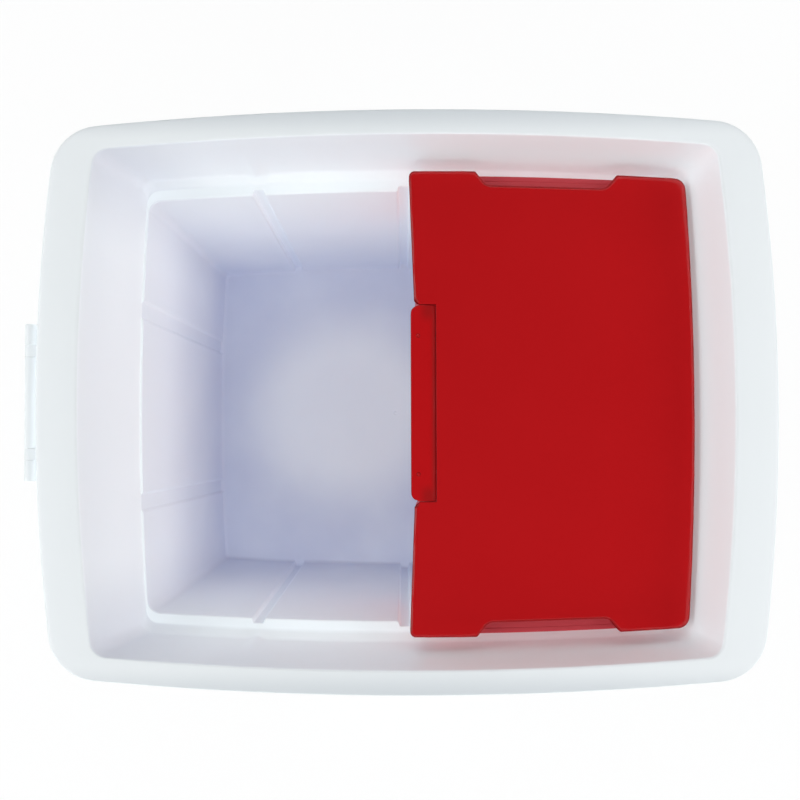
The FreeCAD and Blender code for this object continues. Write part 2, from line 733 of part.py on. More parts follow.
def make_tray_lid():
    """The lid: a plate with a skirt all round, two finger notches, hinge lugs and a gap for the snap tab."""
    body = doc.addObject("PartDesign::Body", "lid_shell")
    skirt = size("lid_skirt")
    depth = LID_TOP - LID_FOOT
    top = pad(body, "lid_pad", outline_sketch(body, "lid_outline", LID_FOOT, LID), depth)
    round_top(body, top, "lid_rounded", LID_TOP, size("lid_edge"))
    inside = outline_sketch(body, "lid_inside", LID_FOOT, LID.grown(-skirt, -skirt))
    pocket(body, "lid_hollow", inside, depth - size("lid_plate"), upward=True)
    notches = [finger_notch(f"notch_{turn}", turn, as_size(0), LID_FOOT, LID_TOP) for turn in (0, 180)]
    whole = fused("lid_whole", [body, notch_walls()] + lid_lugs())
    return without("tray_lid", whole, notches + tab_gap() + lid_pin_bores("lid_lug_bore"))


def make_lid_tab():
    """The snap tab: a thin plate from the crease to a lip that hangs outside the tray's flange."""
    body = doc.addObject("PartDesign::Body", "lid_tab")
    foot = TAB_TOP - size("tab_drop")
    profile = polygon_sketch(body, "tab_profile", 0, [
        (TAB_CREASE_X, TAB_TOP), (TAB_FACE, TAB_TOP), (TAB_FACE, foot),
        (TAB_BACK, foot), (TAB_BACK, TAB_UNDER), (TAB_CREASE_X, TAB_UNDER)], "XZ_Plane")
    pad(body, "tab_pad", profile, size("tab_length"), midplane=True)
    return body


def check_document():
    """Stop if any object of the document failed to build."""
    for thing in doc.Objects:
        if {"Invalid", "Error"} & set(thing.State):
            raise RuntimeError(f"{thing.Name} failed: {thing.State}")


def export(pieces):
    """Write each sub-part to its own file, named by its label."""
    os.makedirs("parts", exist_ok=True)
    for piece in pieces:
        shape = piece.Shape
        if shape.isNull() or not shape.isValid() or len(shape.Solids) != 1:
            raise RuntimeError(f"{piece.Label} is not one sound solid")
        print(piece.Label, f"{shape.Volume / 1000:.1f} cm3")
    for piece in pieces:
        piece.Shape.exportStep(f"parts/{piece.Label}.step")


PIECES = [
    make_tub(),
    make_end_latch(),
    make_latch_pin(),
    make_tray_base(),
    make_tray_lid(),
    make_lid_tab(),
    make_lid_pin("lid_pin_left", 1),
    make_lid_pin("lid_pin_right", -1),
]
doc.recompute()
check_document()
export(PIECES)
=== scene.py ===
import math
from collections import namedtuple
from types import SimpleNamespace

import bmesh
import bpy
from mathutils import Matrix, Vector
from mathutils.geometry import delaunay_2d_cdt
from mathutils.kdtree import KDTree


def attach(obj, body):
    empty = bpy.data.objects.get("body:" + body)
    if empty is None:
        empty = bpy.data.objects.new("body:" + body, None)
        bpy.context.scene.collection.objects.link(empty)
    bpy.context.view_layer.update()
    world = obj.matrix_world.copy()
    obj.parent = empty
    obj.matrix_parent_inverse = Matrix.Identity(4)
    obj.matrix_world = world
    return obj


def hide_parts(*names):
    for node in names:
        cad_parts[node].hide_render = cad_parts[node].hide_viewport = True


# An art supply box seen from above: a white moulded tub, a red lidded half tray on its ledge and a swing
# latch on the left end. Sizes are in millimetres and become metres where a mesh is made.

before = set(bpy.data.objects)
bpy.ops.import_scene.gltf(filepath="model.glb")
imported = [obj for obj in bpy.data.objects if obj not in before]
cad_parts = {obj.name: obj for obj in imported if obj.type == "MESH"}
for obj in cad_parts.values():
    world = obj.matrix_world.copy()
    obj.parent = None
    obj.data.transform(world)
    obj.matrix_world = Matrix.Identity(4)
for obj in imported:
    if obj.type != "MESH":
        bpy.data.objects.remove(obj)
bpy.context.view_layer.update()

MM = 0.001

# Levels above the base
FLOOR_TOP = 3.0
LEDGE_TOP = 171.0
BAND_TOP = 175.0
COVE_LEVEL = 197.0
SKIRT_FOOT = 204.0
RIM_UNDER = 216.8
RIM_TOP = 220.0
TRAY_BASE = 111.0
TRAY_FLOOR = 113.2
TRAY_SEAT = 171.2
SHOULDER_TOP = 173.2
DIVIDER_TOP = 172.8
FLANGE_FOOT = 184.8
FLANGE_TOP = 186.8
LID_FOOT = 187.1
LID_UNDER = 193.2
LID_TOP = 195.0
TAB_FOOT = 185.4
TAB_UNDER = 191.8
TAB_TOP = 194.75

# Plan outlines: the x of both ends, half the width, the bow of each edge and the corners
Outline = namedtuple("Outline", "rear front half_width rear_bow front_bow side_bow rear_corner front_corner")
STRAIGHT = 1e5
# The front corners of the lid and the tray
FRONT_CORNER = 3.0


def tub_outline(half_length, half_width, end_bow, side_bow, corner):
    """An outline of the tub, the same at both ends."""
    return Outline(half_length, -half_length, half_width, end_bow, end_bow, side_bow, corner, corner)


def tray_outline(rear, front, half_width, rear_corner):
    """An outline of the tray, with a straight front edge."""
    return Outline(rear, front, half_width, WELL.rear_bow, STRAIGHT, WELL.side_bow, rear_corner, FRONT_CORNER)


def grown(shape, by):
    """The outline that runs beside another at a distance, outside it if that is positive."""
    return Outline(shape.rear + by, shape.front - by, shape.half_width + by, shape.rear_bow + by,
                   shape.front_bow + by, shape.side_bow + by, shape.rear_corner + by, shape.front_corner + by)


# Bows of the ends and the sides: of the well, the cove above it and the rim
WELL_BOWS = (1800, 2150)
COVE_BOWS = (1350, 1930)
RIM_BOWS = (1000, 1750)
LID_HALF = 127.0
TRAY_FRONT = 7.2
TRAY_CORNER = 8
WELL = tub_outline(151.5, 123.5, *WELL_BOWS, 8)
FLOOR = tub_outline(146.9, 118.9, *WELL_BOWS, 5)
LEDGE = tub_outline(152.9, 130.0, *WELL_BOWS, 7)
COLLAR = tub_outline(154.6, 134.5, *WELL_BOWS, 7)
COVE = tub_outline(163.2, 136.1, *COVE_BOWS, 8)
MOUTH = tub_outline(168.0, 137.0, *RIM_BOWS, 9)
CREST = tub_outline(179.0, 143.5, *RIM_BOWS, 17)
RIM = tub_outline(190.0, 150.0, *RIM_BOWS, 26)
LID = tray_outline(157.03, 4.53, LID_HALF, 6.5)
FLANGE = tray_outline(143.83, 6.6, LID_HALF, TRAY_CORNER)
TRAY = tray_outline(142.83, TRAY_FRONT, 126.0, TRAY_CORNER)
BASIN = tray_outline(141.86, TRAY_FRONT, 120.36, TRAY_CORNER)

# The tub's walls, the small drops of its rim, how far its level faces run in, and its rounded profile
WALL = 2.4
RIM_WALL = 2.6
MOUTH_DROP = 0.3
RIM_DROP = 0.4
FLOOR_RUN = 8
BASE_RUN = 10
TUB_ROUND = SimpleNamespace(floor=3.2, well=1.0, ledge=1.4, band=1.6, cove=12.0, mouth=1.2, crest=4.0,
                            rim=1.5, skirt=1.1, under=2.0, seat=1.5, base=4.0)

# The moulding mark on the tub's floor, and how deep it and the tab's pips are sunk
GATE_MARK = (-7.4, 2.1)
GATE_RADIUS = 1.5
GATE_HEIGHT = 0.6
PIP_SUNK = 0.1

# The tray's walls, how far its level faces run in, and its rounded profile
TRAY_WALL = 2.0
TRAY_FLOOR_RUN = 5
TRAY_BASE_RUN = 6
TRAY_ROUND = SimpleNamespace(floor=3.0, shoulder=1.0, cup=1.2, flange=0.7, under=0.5, seat=1.0, base=3.0)

# The tray's shelves under the finger notches, and its dividers
SHELF_STEP = 0.2
SHELF_EDGE = 3.5
SHELF_WIDTH = 11.0
SHELF_HALF = 41.0
SHELF_INNER_ROUND = 3.0
SHELF_OUTER_ROUND = 1.0
SHELF_BEVEL = 0.4
TRAY_BAYS = 3
DIVIDER_HALF = 0.9
DIVIDER_BITE = 1
DIVIDER_FOOT_ROUND = 0.8
DIVIDER_TOP_ROUND = 3.0
DIVIDER_BEVEL = 0.6

# Flutes in the lower walls, and the bumps on the band above the first of those of each long side
SIDE_FLUTES = (-84.0, 0.0, 84.0)
END_FLUTES = (-55.5, 55.5)
FLUTE_HALF = 3.8
FLUTE_SOFT = 1.0
SIDE_FLUTE_DEPTH = 3.0
END_FLUTE_DEPTH = 1.3
END_FLUTE_HALF = 5.5
RIB_HALF = FLUTE_HALF + WALL
RIB_DEPTH = 3.0
BUMP_DEPTH = 1.6
BUMP_HALF = 4.2
BUMP_PLACE = SIDE_FLUTES[0]

# Points along a fluted wall: their offsets from a flute, the least distance of the others, and the reach and
# pitch of those
FLUTE_OFFSETS = (0.0, 1.2, 1.9, 2.5, 3.1, 3.7, 4.4, 5.2, 6.2, 7.4, 9.0)
FLUTE_CLEAR = 10.0
SIDE_REACH = 104.0
END_REACH = 80.0
MARK_PITCH = 11.0
MARK_DIGITS = 3

# Finger notches in the lid's long edges
NOTCH_MIDDLE = 77.5
NOTCH_DEPTH = 7.6
NOTCH_HALF_FLOOR = 32.5
NOTCH_HALF_BRIM = 38.5
NOTCH_ROUND = (1.5, 6.0, 6.0, 1.5)

# Snap tab and its cut-out in the lid
TAB_CREASE = 17.13
TAB_HALF = 53.5
TAB_GAP = 0.15
TAB_EDGE = 3.6
TAB_SHOULDER = 8.2
TAB_TAPER = 1.8
TAB_LIP = 1.2
TAB_WALL = 1.2
TAB_FILLET = 0.35
TAB_ROUND = SimpleNamespace(crease=0.4, shoulder=0.7, edge=4.0)
SKIRT_DROP = 0.4
CREASE_WIDTH = 6.0
CREASE_DEPTH = 1.25
CREASE_DIP = 0.25
CREASE_DIP_LENGTH = 9.0
CREASE_DIP_FROM = 4
CREASE_DIP_RUN = 6
PIP_X = 7.6
PIP_PLACES = (36.7, -38.6)
PIP_RADIUS = 1.1
PIP_HEIGHT = 0.5

# The step in the tray's front behind each end of the tab
TRAY_NOTCH = 4.6
TRAY_NOTCH_HALF = 8.0
TRAY_NOTCH_STEPS = 4

# The lid: places along its bowed edges, the V notches beside the tab, and its edges
LID_REAR_PLACES = (0, 25, 50, 75, 100)
LID_SIDE_PLACES = (140, 128)
LID_FRONT_PLACE = 22
LID_CORNER_X = 2.7
LID_FRONT_X = 5.5
NOTCH_RUN = 3.2
V_ROUND = SimpleNamespace(mouth=0.8, shoulder=0.3, crease=0.4)
BAY_BEFORE = 1
BAY_BESIDE = 2
LID_WALL = 1.5
LID_FILLET = 0.3
LID_SAG = 0.2
LID_ROLL = 1.7
LID_DROP = 0.9

# Hinge of the lid: the ears of the tray and the lugs of the lid
LID_PIVOT = (147.53, 190.0)
KNUCKLE = 2.8
EARS = (75.0, 80.0)
EAR_REACH = 7.4
EAR_BITE = 1
LUGS = (80.4, 85.4)
LUG_BITE = 0.4
EYE_BEVEL = 0.5

# The end latch and the lugs that carry it
LATCH_PIVOT = (-196.0, 211.0)
BARREL = 3.0
BARREL_BEVEL = 0.2
LATCH_HALF = 41.0
LATCH_PLATE = 2.4
LATCH_FOOT = 171.0
LATCH_LIP = 4.6
LATCH_NECK = 0.9
LATCH_LAP = 0.5
LATCH_BEVEL = 0.9
LATCH_ROUND = SimpleNamespace(crook=1.5, lip=1.1, foot=1.0)
LUG_MIDDLE = 27.0
LUG_HALF = 3.0
SLOT_GAP = 0.15
SLOT_HALF = LUG_HALF + SLOT_GAP

# The studio's floor: its shade, roughness and reach, and then where it starts to run into the white backdrop
# and is one with it, in metres, with its glow up to there
STUDIO_SHADE = 0.86
STUDIO_ROUGHNESS = 0.9
STUDIO_REACH = 6.0
FLOOR_GLOW = (0.6, 2.4, 0.85)

# Light: the grey of the tent's side and top, and the lamps' distance, tint and size
TENT_SIDE = 0.1
TENT_TOP = 0.05
LAMP_DISTANCE = 1.7
LAMP_TINT = (0.98, 1, 1)
LAMP_SIZE = (1.4, 0.7)
# Bearing, height above the horizon, power and whether the lamp is a fill, with no shadow and no mirror image
LAMPS = {
    "lamp_left": (180, 35, 8.6, False),
    "lamp_right": (0, 35, 8.8, False),
    "lamp_near": (270, 35, 6.2, False),
    "lamp_far": (90, 35, 4.8, False),
    "fill_left": (180, 20, 10.8, True),
    "fill_right": (0, 35, 12.4, True),
    "fill_near": (270, 35, 12.0, True),
    "fill_far": (90, 20, 2.8, True),
}

# Camera: its picture and focal length in pixels, its place, and its small turns in radians
FRAME_SIDE = 800
SENSOR_WIDTH = 36.0
CAMERA_FOCAL = 743.0
CAMERA_AXIS = (393.45, 429.5)
CAMERA_PLACE = (-0.33, -21.2, 598.0)
CAMERA_PAN = -0.014
CAMERA_TILT = 0.017
CAMERA_ROLL = -0.003

# Points of plates: their pitch along the edge and over the top, how far those of the top keep from the edge,
# and the bands beside the edge, whose points keep at least a share of the band's distance
PLATE_PITCH = 3.0
PLATE_GRID = 5.0
GRID_CLEAR = 8.5
PLATE_BANDS = (0.35, 0.7, 1.05, 1.4, 2.5, 3.7, 5.2, 7.0)
BAND_SHARE = 0.9
PLATE_LIP = 0.35
INSIDE_ONLY = 1
MERGE = 1e-5

# Steps of the curves and of the straights between them
ROUND_STEPS = 5
CORNER_STEPS = 10
POLYGON_STEPS = 6
BEVEL_STEPS = 4
FILLET_STEPS = 4
EYE_STEPS = 14
BARREL_STEPS = 20
DOME_STEPS = 5
DOME_SIDES = 20
FLUTED_STEPS = 5
PLAIN_STEPS = 12

# Limits: the least corners, how far an inset corner may run out, and the weld in metres
LEAST_CORNER = 0.05
LEAST_RADIUS = 0.02
LEAST_TURN = 0.4
WELD = 1e-6
SMOOTH_SIDES = 4

# Plastics: two shades of colour, the ends of the roughness, and the scale and strength of the grain
PLASTICS = {
    "tub_white": (((0.86, 0.905, 0.935), (0.875, 0.915, 0.94)), (0.38, 0.46), 900.0, 0.05),
    "latch_white": (((0.78, 0.81, 0.83), (0.80, 0.83, 0.85)), (0.36, 0.44), 900.0, 0.05),
    "lid_red": (((0.395, 0.005, 0.007), (0.415, 0.006, 0.008)), (0.10, 0.15), 420.0, 0.02),
    "tab_red": (((0.41, 0.004, 0.006), (0.43, 0.005, 0.007)), (0.12, 0.18), 420.0, 0.02),
    # The tray's red: its own colour, made lighter and pinker in part as a painted sheen
    "tray_red": (((0.42, 0.034, 0.045), (0.45, 0.039, 0.05)), (0.5, 0.62), 700.0, 0.06),
}
PLASTIC_IOR = 1.49
COLOUR_SCALE = 9.0
GLOSS_SCALE = 34.0
GRAIN_DETAIL = 2.0
GRAIN_HEIGHT = 0.0004
RAMP_ENDS = (0.3, 0.7)

# Drawn wire: the scale, detail and stretch of its streaks, its shades and roughness, and its relief
WIRE_STREAKS = (60.0, 4.0, (40, 1, 40))
WIRE_SHADES = ((0.5, 0.5, 0.52), (0.68, 0.68, 0.7))
WIRE_GLOSS = (0.24, 0.38)
WIRE_RELIEF = (0.15, 0.0001)

# Painted shade on the tub: on the level top of the rim and its long edges, the outside, inner corners and the
# depth of the well
PAINTED_LEVEL_SHADE = (0.77, 0.795, 0.815)
PAINTED_RIM_EDGE_SHADE = (0.60, 0.63, 0.66)
PAINTED_OUTER_SHADE = (0.68, 0.71, 0.735)
PAINTED_CORNER_SHADE = (0.71, 0.74, 0.79)
PAINTED_DEEP_SHADE = (0.45, 0.495, 0.665)
# The rise of the normal where a surface starts to count as facing up or out and where it fully does
FACING_UP = (0.6, 0.95)
FACING_OUT = (0.5, 0.1)
# Where each painted shade starts and is full: along the rim's sides, in the corners of the latch end and down
# the well
RIM_GREY = (134.0, RIM.half_width)
CORNER_LENGTHWISE = (-100.0, -155.0)
CORNER_CROSSWISE = (80.0, 130.0)
DEPTH = (190.0, -60.0)
# Noise that makes the painted shade down the well blotchy
CLOUD_SCALE = 14.0
CLOUD_RANGE = (-0.6, 0.7)
# A painted pool of light on the floor in metres: its middle, where it ends and fades out, and the share of
# painted shade left in it
PAINTED_LIGHT_POOL = ((-0.045, 0.005, 0.003), 0.04, 0.1, 0.35)
# The middle that the inside of the tub faces, and how far a face has to look away from it to be outside
TUB_MIDDLE = (0, 0, RIM_TOP / 2 * MM)
OUTSIDE_FROM = 0.05

# Tints of the lid and the tab: the painted shade of the crease, with where it starts and is full towards the
# tab's ends, behind its free edge and at the crease, and then the painted shade and dull shine of the
# turned-down edges
PAINTED_CREASE_SHADE = (0.30, 0.006, 0.007)
CREASE_ENDS = (TAB_HALF - 11, TAB_HALF - 4)
CREASE_REAR = (TAB_EDGE + 3, TAB_EDGE + 9)
CREASE_LINE = (TAB_CREASE - 3.5, TAB_CREASE - 0.5)
PAINTED_EDGE_SHADE = (0.17, 0.003, 0.004)
EDGE_LEVEL = 0.97
EDGE_TURNED = 0.8
LID_SHINE = 0.5


# Materials


def metres(lengths):
    """Lengths in metres."""
    return [length * MM for length in lengths]


def grey(shade):
    """A colour without hue."""
    return (shade, shade, shade)


def shader(name):
    """A new node material with its node tree and its main shader."""
    material = bpy.data.materials.new(name)
    material.use_nodes = True
    tree = material.node_tree
    return material, tree, tree.nodes["Principled BSDF"]


def noise(tree, scale, detail=3.0, stretch=(1, 1, 1)):
    """Noise over the object's own coordinates, as a value from 0 to 1."""
    place = tree.nodes.new("ShaderNodeTexCoord")
    mapping = tree.nodes.new("ShaderNodeMapping")
    mapping.inputs["Scale"].default_value = stretch
    texture = tree.nodes.new("ShaderNodeTexNoise")
    texture.inputs["Scale"].default_value = scale
    texture.inputs["Detail"].default_value = detail
    tree.links.new(place.outputs["Object"], mapping.inputs["Vector"])
    tree.links.new(mapping.outputs["Vector"], texture.inputs["Vector"])
    return texture.outputs["Fac"]


def ramp(tree, value, low, high):
    """A colour or grey that follows a value between two ends."""
    blend = tree.nodes.new("ShaderNodeValToRGB")
    for end, position, colour in zip(blend.color_ramp.elements, RAMP_ENDS, (low, high)):
        end.position = position
        end.color = (*colour, 1)
    tree.links.new(value, blend.inputs["Fac"])
    return blend.outputs["Color"]


def add_bump(tree, main, value, strength, distance):
    """Relief on the surface."""
    bump = tree.nodes.new("ShaderNodeBump")
    bump.inputs["Strength"].default_value = strength
    bump.inputs["Distance"].default_value = distance
    tree.links.new(value, bump.inputs["Height"])
    tree.links.new(bump.outputs["Normal"], main.inputs["Normal"])


def moulded_plastic(name, shades, gloss, grain, relief):
    """Moulded plastic: cloudy colour, uneven gloss and a fine grain."""
    material, tree, main = shader(name)
    tree.links.new(ramp(tree, noise(tree, COLOUR_SCALE), *shades), main.inputs["Base Color"])
    tree.links.new(ramp(tree, noise(tree, GLOSS_SCALE), *map(grey, gloss)), main.inputs["Roughness"])
    add_bump(tree, main, noise(tree, grain, GRAIN_DETAIL), relief, GRAIN_HEIGHT)
    main.inputs["IOR"].default_value = PLASTIC_IOR
    return material


def soft_step(tree, value, low, high, least=0.0, most=1.0):
    """The least below one end of a value and the most above the other, smooth between."""
    step = tree.nodes.new("ShaderNodeMapRange")
    step.interpolation_type = "SMOOTHSTEP"
    step.inputs["From Min"].default_value = low
    step.inputs["From Max"].default_value = high
    step.inputs["To Min"].default_value = least
    step.inputs["To Max"].default_value = most
    tree.links.new(value, step.inputs["Value"])
    return step.outputs["Result"]


def combine(tree, operation, first, second=None):
    """One number worked out from one or two others."""
    node = tree.nodes.new("ShaderNodeMath")
    node.operation = operation
    tree.links.new(first, node.inputs[0])
    if second:
        tree.links.new(second, node.inputs[1])
    return node.outputs["Value"]


def product(tree, first, *others):
    """Several numbers multiplied."""
    for other in others:
        first = combine(tree, "MULTIPLY", first, other)
    return first


def split_axes(tree, vector):
    """The x, y and z of a vector."""
    split = tree.nodes.new("ShaderNodeSeparateXYZ")
    tree.links.new(vector, split.inputs["Vector"])
    return split.outputs


def tint(material, share, colour):
    """The base colour runs into another colour by a share."""
    tree = material.node_tree
    base = tree.nodes["Principled BSDF"].inputs["Base Color"]
    mixed = tree.nodes.new("ShaderNodeMix")
    mixed.data_type = "RGBA"
    mixed.inputs["B"].default_value = (*colour, 1)
    tree.links.new(base.links[0].from_socket, mixed.inputs["A"])
    tree.links.new(share, mixed.inputs["Factor"])
    tree.links.new(mixed.outputs["Result"], base)


def from_point(tree, operation, place, point):
    """The way or the distance from a point to each place."""
    node = tree.nodes.new("ShaderNodeVectorMath")
    node.operation = operation
    node.inputs[1].default_value = point
    tree.links.new(place, node.inputs[0])
    return node.outputs


def spread(tree, place, middle, near, far, least):
    """A least share near a middle, rising to 1 far from it."""
    return soft_step(tree, from_point(tree, "DISTANCE", place, middle)["Value"], near, far, least)


def faces_inwards(tree, place, normal):
    """1 where the surface faces the middle of the box, and 0 on its outside and underneath."""
    along = tree.nodes.new("ShaderNodeVectorMath")
    along.operation = "DOT_PRODUCT"
    tree.links.new(from_point(tree, "SUBTRACT", place, TUB_MIDDLE)["Vector"], along.inputs[0])
    tree.links.new(normal, along.inputs[1])
    return soft_step(tree, along.outputs["Value"], OUTSIDE_FROM, 0.0)


def paint_crease_shade(material):
    """Painted shade along the crease, running on towards the free edge at its ends."""
    tree = material.node_tree
    axes = split_axes(tree, tree.nodes.new("ShaderNodeTexCoord").outputs["Object"])
    ends = soft_step(tree, combine(tree, "ABSOLUTE", axes["Y"]), *metres(CREASE_ENDS))
    rear = soft_step(tree, axes["X"], *metres(CREASE_REAR))
    line = soft_step(tree, axes["X"], *metres(CREASE_LINE))
    tint(material, combine(tree, "MAXIMUM", product(tree, ends, rear), line), PAINTED_CREASE_SHADE)


def paint_edge_shade(material):
    """Painted shade, a deeper red, and less shine where the plastic turns down at an edge."""
    tree = material.node_tree
    normal = tree.nodes.new("ShaderNodeTexCoord").outputs["Normal"]
    level = combine(tree, "ABSOLUTE", split_axes(tree, normal)["Z"])
    tint(material, soft_step(tree, level, EDGE_LEVEL, EDGE_TURNED), PAINTED_EDGE_SHADE)
    shine = soft_step(tree, level, EDGE_TURNED, EDGE_LEVEL, most=LID_SHINE)
    tree.links.new(shine, tree.nodes["Principled BSDF"].inputs["Specular IOR Level"])


def shade_tub(material):
    """Milky plastic with painted shade: greyer on its outside, on the level rim top, most along its long
    sides, and in two inner corners, darker and bluer deep in the well, less in a painted pool of light on the
    floor."""
    tree = material.node_tree
    place = tree.nodes.new("ShaderNodeTexCoord").outputs["Object"]
    normal = tree.nodes.new("ShaderNodeNewGeometry").outputs["Normal"]
    axes = split_axes(tree, place)
    across = combine(tree, "ABSOLUTE", axes["Y"])
    rise = split_axes(tree, normal)["Z"]
    level = product(tree, soft_step(tree, rise, *FACING_UP),
                    soft_step(tree, axes["Z"], *metres((COVE_LEVEL, SKIRT_FOOT))))
    edge = soft_step(tree, across, *metres(RIM_GREY))
    inside = faces_inwards(tree, place, normal)
    outside = product(tree, soft_step(tree, inside, 1.0, 0.0), soft_step(tree, rise, *FACING_OUT),
                      soft_step(tree, axes["Z"], *metres((RIM_TOP, SKIRT_FOOT))))
    corner = product(tree, soft_step(tree, axes["X"], *metres(CORNER_LENGTHWISE)),
                     soft_step(tree, across, *metres(CORNER_CROSSWISE)))
    deep = soft_step(tree, axes["Z"], *metres(DEPTH))
    clouds = soft_step(tree, noise(tree, CLOUD_SCALE), *CLOUD_RANGE)
    tint(material, level, PAINTED_LEVEL_SHADE)
    tint(material, product(tree, level, edge), PAINTED_RIM_EDGE_SHADE)
    tint(material, outside, PAINTED_OUTER_SHADE)
    tint(material, product(tree, corner, inside), PAINTED_CORNER_SHADE)
    tint(material, product(tree, deep, clouds, inside, spread(tree, place, *PAINTED_LIGHT_POOL)), PAINTED_DEEP_SHADE)


def drawn_steel(name):
    """Drawn wire: fine streaks along its length."""
    material, tree, main = shader(name)
    streaks = noise(tree, *WIRE_STREAKS)
    tree.links.new(ramp(tree, streaks, *WIRE_SHADES), main.inputs["Base Color"])
    tree.links.new(ramp(tree, streaks, *map(grey, WIRE_GLOSS)), main.inputs["Roughness"])
    add_bump(tree, main, streaks, *WIRE_RELIEF)
    main.inputs["Metallic"].default_value = 1.0
    return material


WHITE, LATCH_WHITE, RED, TAB_RED, TRAY_RED = [moulded_plastic(name, *look) for name, look in PLASTICS.items()]
# Painted shade on the tub, along the tab's crease and on the turned-down red edges
shade_tub(WHITE)
paint_crease_shade(TAB_RED)
for material in (RED, TAB_RED):
    paint_edge_shade(material)
STEEL = drawn_steel("pin_wire")


# Meshes


def add_piece(name, parts, material, body, stands_for=()):
    """One object from lists of corners and faces, riding on a body."""
    shape = bmesh.new()
    for corners, faces in parts:
        made = [shape.verts.new(Vector(corner) * MM) for corner in corners]
        for face in faces:
            shape.faces.new([made[i] for i in face])
    bmesh.ops.remove_doubles(shape, verts=shape.verts, dist=WELD)
    bmesh.ops.recalc_face_normals(shape, faces=shape.faces)
    for face in shape.faces:
        face.smooth = len(face.verts) <= SMOOTH_SIDES
    mesh = bpy.data.meshes.new(name)
    shape.to_mesh(mesh)
    shape.free()
    mesh.materials.append(material)
    piece = bpy.data.objects.new(name, mesh)
    bpy.context.scene.collection.objects.link(piece)
    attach(piece, body)
    if stands_for:
        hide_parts(*stands_for)
    return piece


def skin(rings, last_cap=True):
    """A surface through rings of as many points each, closed at the first and, if asked, at the last."""
    count = len(rings[0])
    corners = [point for ring in rings for point in ring]
    faces = []
    for level in range(len(rings) - 1):
        base = level * count
        for i in range(count):
            j = (i + 1) % count
            faces.append((base + i, base + j, base + count + j, base + count + i))
    faces.append(tuple(reversed(range(count))))
    if last_cap:
        faces.append(tuple(range(len(corners) - count, len(corners))))
    return corners, faces


# Rings of the tub and the tray


Station = namedtuple("Station", Outline._fields + ("z", "flute", "rib", "bump"))


def station(shape, z, flute=0.0, rib=0.0, bump=0.0):
    """An outline at a level, with how much of each flute, rib and bump shows there."""
    return Station(*shape, z, flute, rib, bump)


def part_way(a, b, share):
    """The station at a share of the way from one to another."""
    return Station(*[p + (q - p) * share for p, q in zip(a, b)])


def toward(here, other, radius):
    """The station at a distance from here on the way to another, at most half way."""
    gap = math.hypot(other.half_width - here.half_width, other.z - here.z)
    return part_way(here, other, min(0.5, radius / gap))


def rounded_path(keys):
    """Stations along a profile whose corners are rounded by each key's radius."""
    path = [keys[0][0]]
    for (before, _), (here, radius), (after, _) in zip(keys, keys[1:], keys[2:]):
        start = toward(here, before, radius)
        end = toward(here, after, radius)
        for step in range(ROUND_STEPS + 1):
            share = step / ROUND_STEPS
            path.append(part_way(part_way(start, here, share), part_way(here, end, share), share))
    path.append(keys[-1][0])
    return path


def corner_arc(end, end_bow, half_width, side_bow, corner):
    """Points round the corner of the +X, +Y quarter, from the end's edge to the side's."""
    corner = max(corner, LEAST_CORNER)
    across = Vector((end_bow - end, half_width - side_bow))
    end_reach = end_bow - corner
    side_reach = side_bow - corner
    along = (end_reach ** 2 - side_reach ** 2 + across.length_squared) / (2 * across.length)
    aside = math.sqrt(end_reach ** 2 - along ** 2)
    ahead = across.normalized()
    end_centre = Vector((end - end_bow, 0))
    sides = [end_centre + ahead * along + Vector((-ahead.y, ahead.x)) * turn for turn in (aside, -aside)]
    middle = max(sides, key=lambda point: point.x + point.y)
    start = math.atan2(middle.y, middle.x - end_centre.x)
    stop = math.atan2(middle.y - half_width + side_bow, middle.x)
    turns = [start + (stop - start) * step / CORNER_STEPS for step in range(CORNER_STEPS + 1)]
    return [middle + Vector((math.cos(turn), math.sin(turn))) * corner for turn in turns]


def between(start, stop, marks, steps):
    """Places strictly between two ends, through the marks on the way."""
    knots = [start, *marks, stop]
    places = list(marks)
    for near, far in ((knots[0], knots[1]), (knots[-2], knots[-1])):
        places += [near + (far - near) * step / steps for step in range(1, steps)]
    return sorted(set(places), reverse=start > stop)


def flute_marks(flutes, reach):
    """Places along a wall, close together over each flute and its rib."""
    marks = {round(middle + side * offset, MARK_DIGITS)
             for middle in flutes for offset in FLUTE_OFFSETS for side in (-1, 1)}
    count = int(2 * reach / MARK_PITCH)
    for step in range(count + 1):
        place = -reach + 2 * reach * step / count
        if all(abs(place - middle) > FLUTE_CLEAR for middle in flutes):
            marks.add(place)
    return sorted(marks)


SIDE_MARKS = flute_marks(SIDE_FLUTES, SIDE_REACH)
END_MARKS = [mark for mark in flute_marks(END_FLUTES, END_REACH) if mark > 0]
TRAY_MARKS = [TAB_HALF + TRAY_NOTCH_HALF * step / TRAY_NOTCH_STEPS
              for step in range(-TRAY_NOTCH_STEPS, TRAY_NOTCH_STEPS + 1)]


def channel(place, flutes, half):
    """1 in the bed of a flute, 0 away from it, with soft edges."""
    off = min(abs(place - middle) for middle in flutes)
    share = min(max((off - half + FLUTE_SOFT) / FLUTE_SOFT, 0.0), 1.0)
    return 0.5 + 0.5 * math.cos(math.pi * share)


def side_push(spot, place):
    """How far a point of a long wall moves outwards at a place along it."""
    bump = math.exp(-(((place - BUMP_PLACE) / BUMP_HALF) ** 2))
    return (spot.flute * SIDE_FLUTE_DEPTH * channel(place, SIDE_FLUTES, FLUTE_HALF)
            + spot.rib * RIB_DEPTH * channel(place, SIDE_FLUTES, RIB_HALF) - spot.bump * BUMP_DEPTH * bump)


def end_push(spot, place):
    """How far a point of an end wall moves outwards at a place along it."""
    return (spot.flute * END_FLUTE_DEPTH * channel(place, END_FLUTES, END_FLUTE_HALF)
            + spot.rib * RIB_DEPTH * channel(place, END_FLUTES, RIB_HALF))


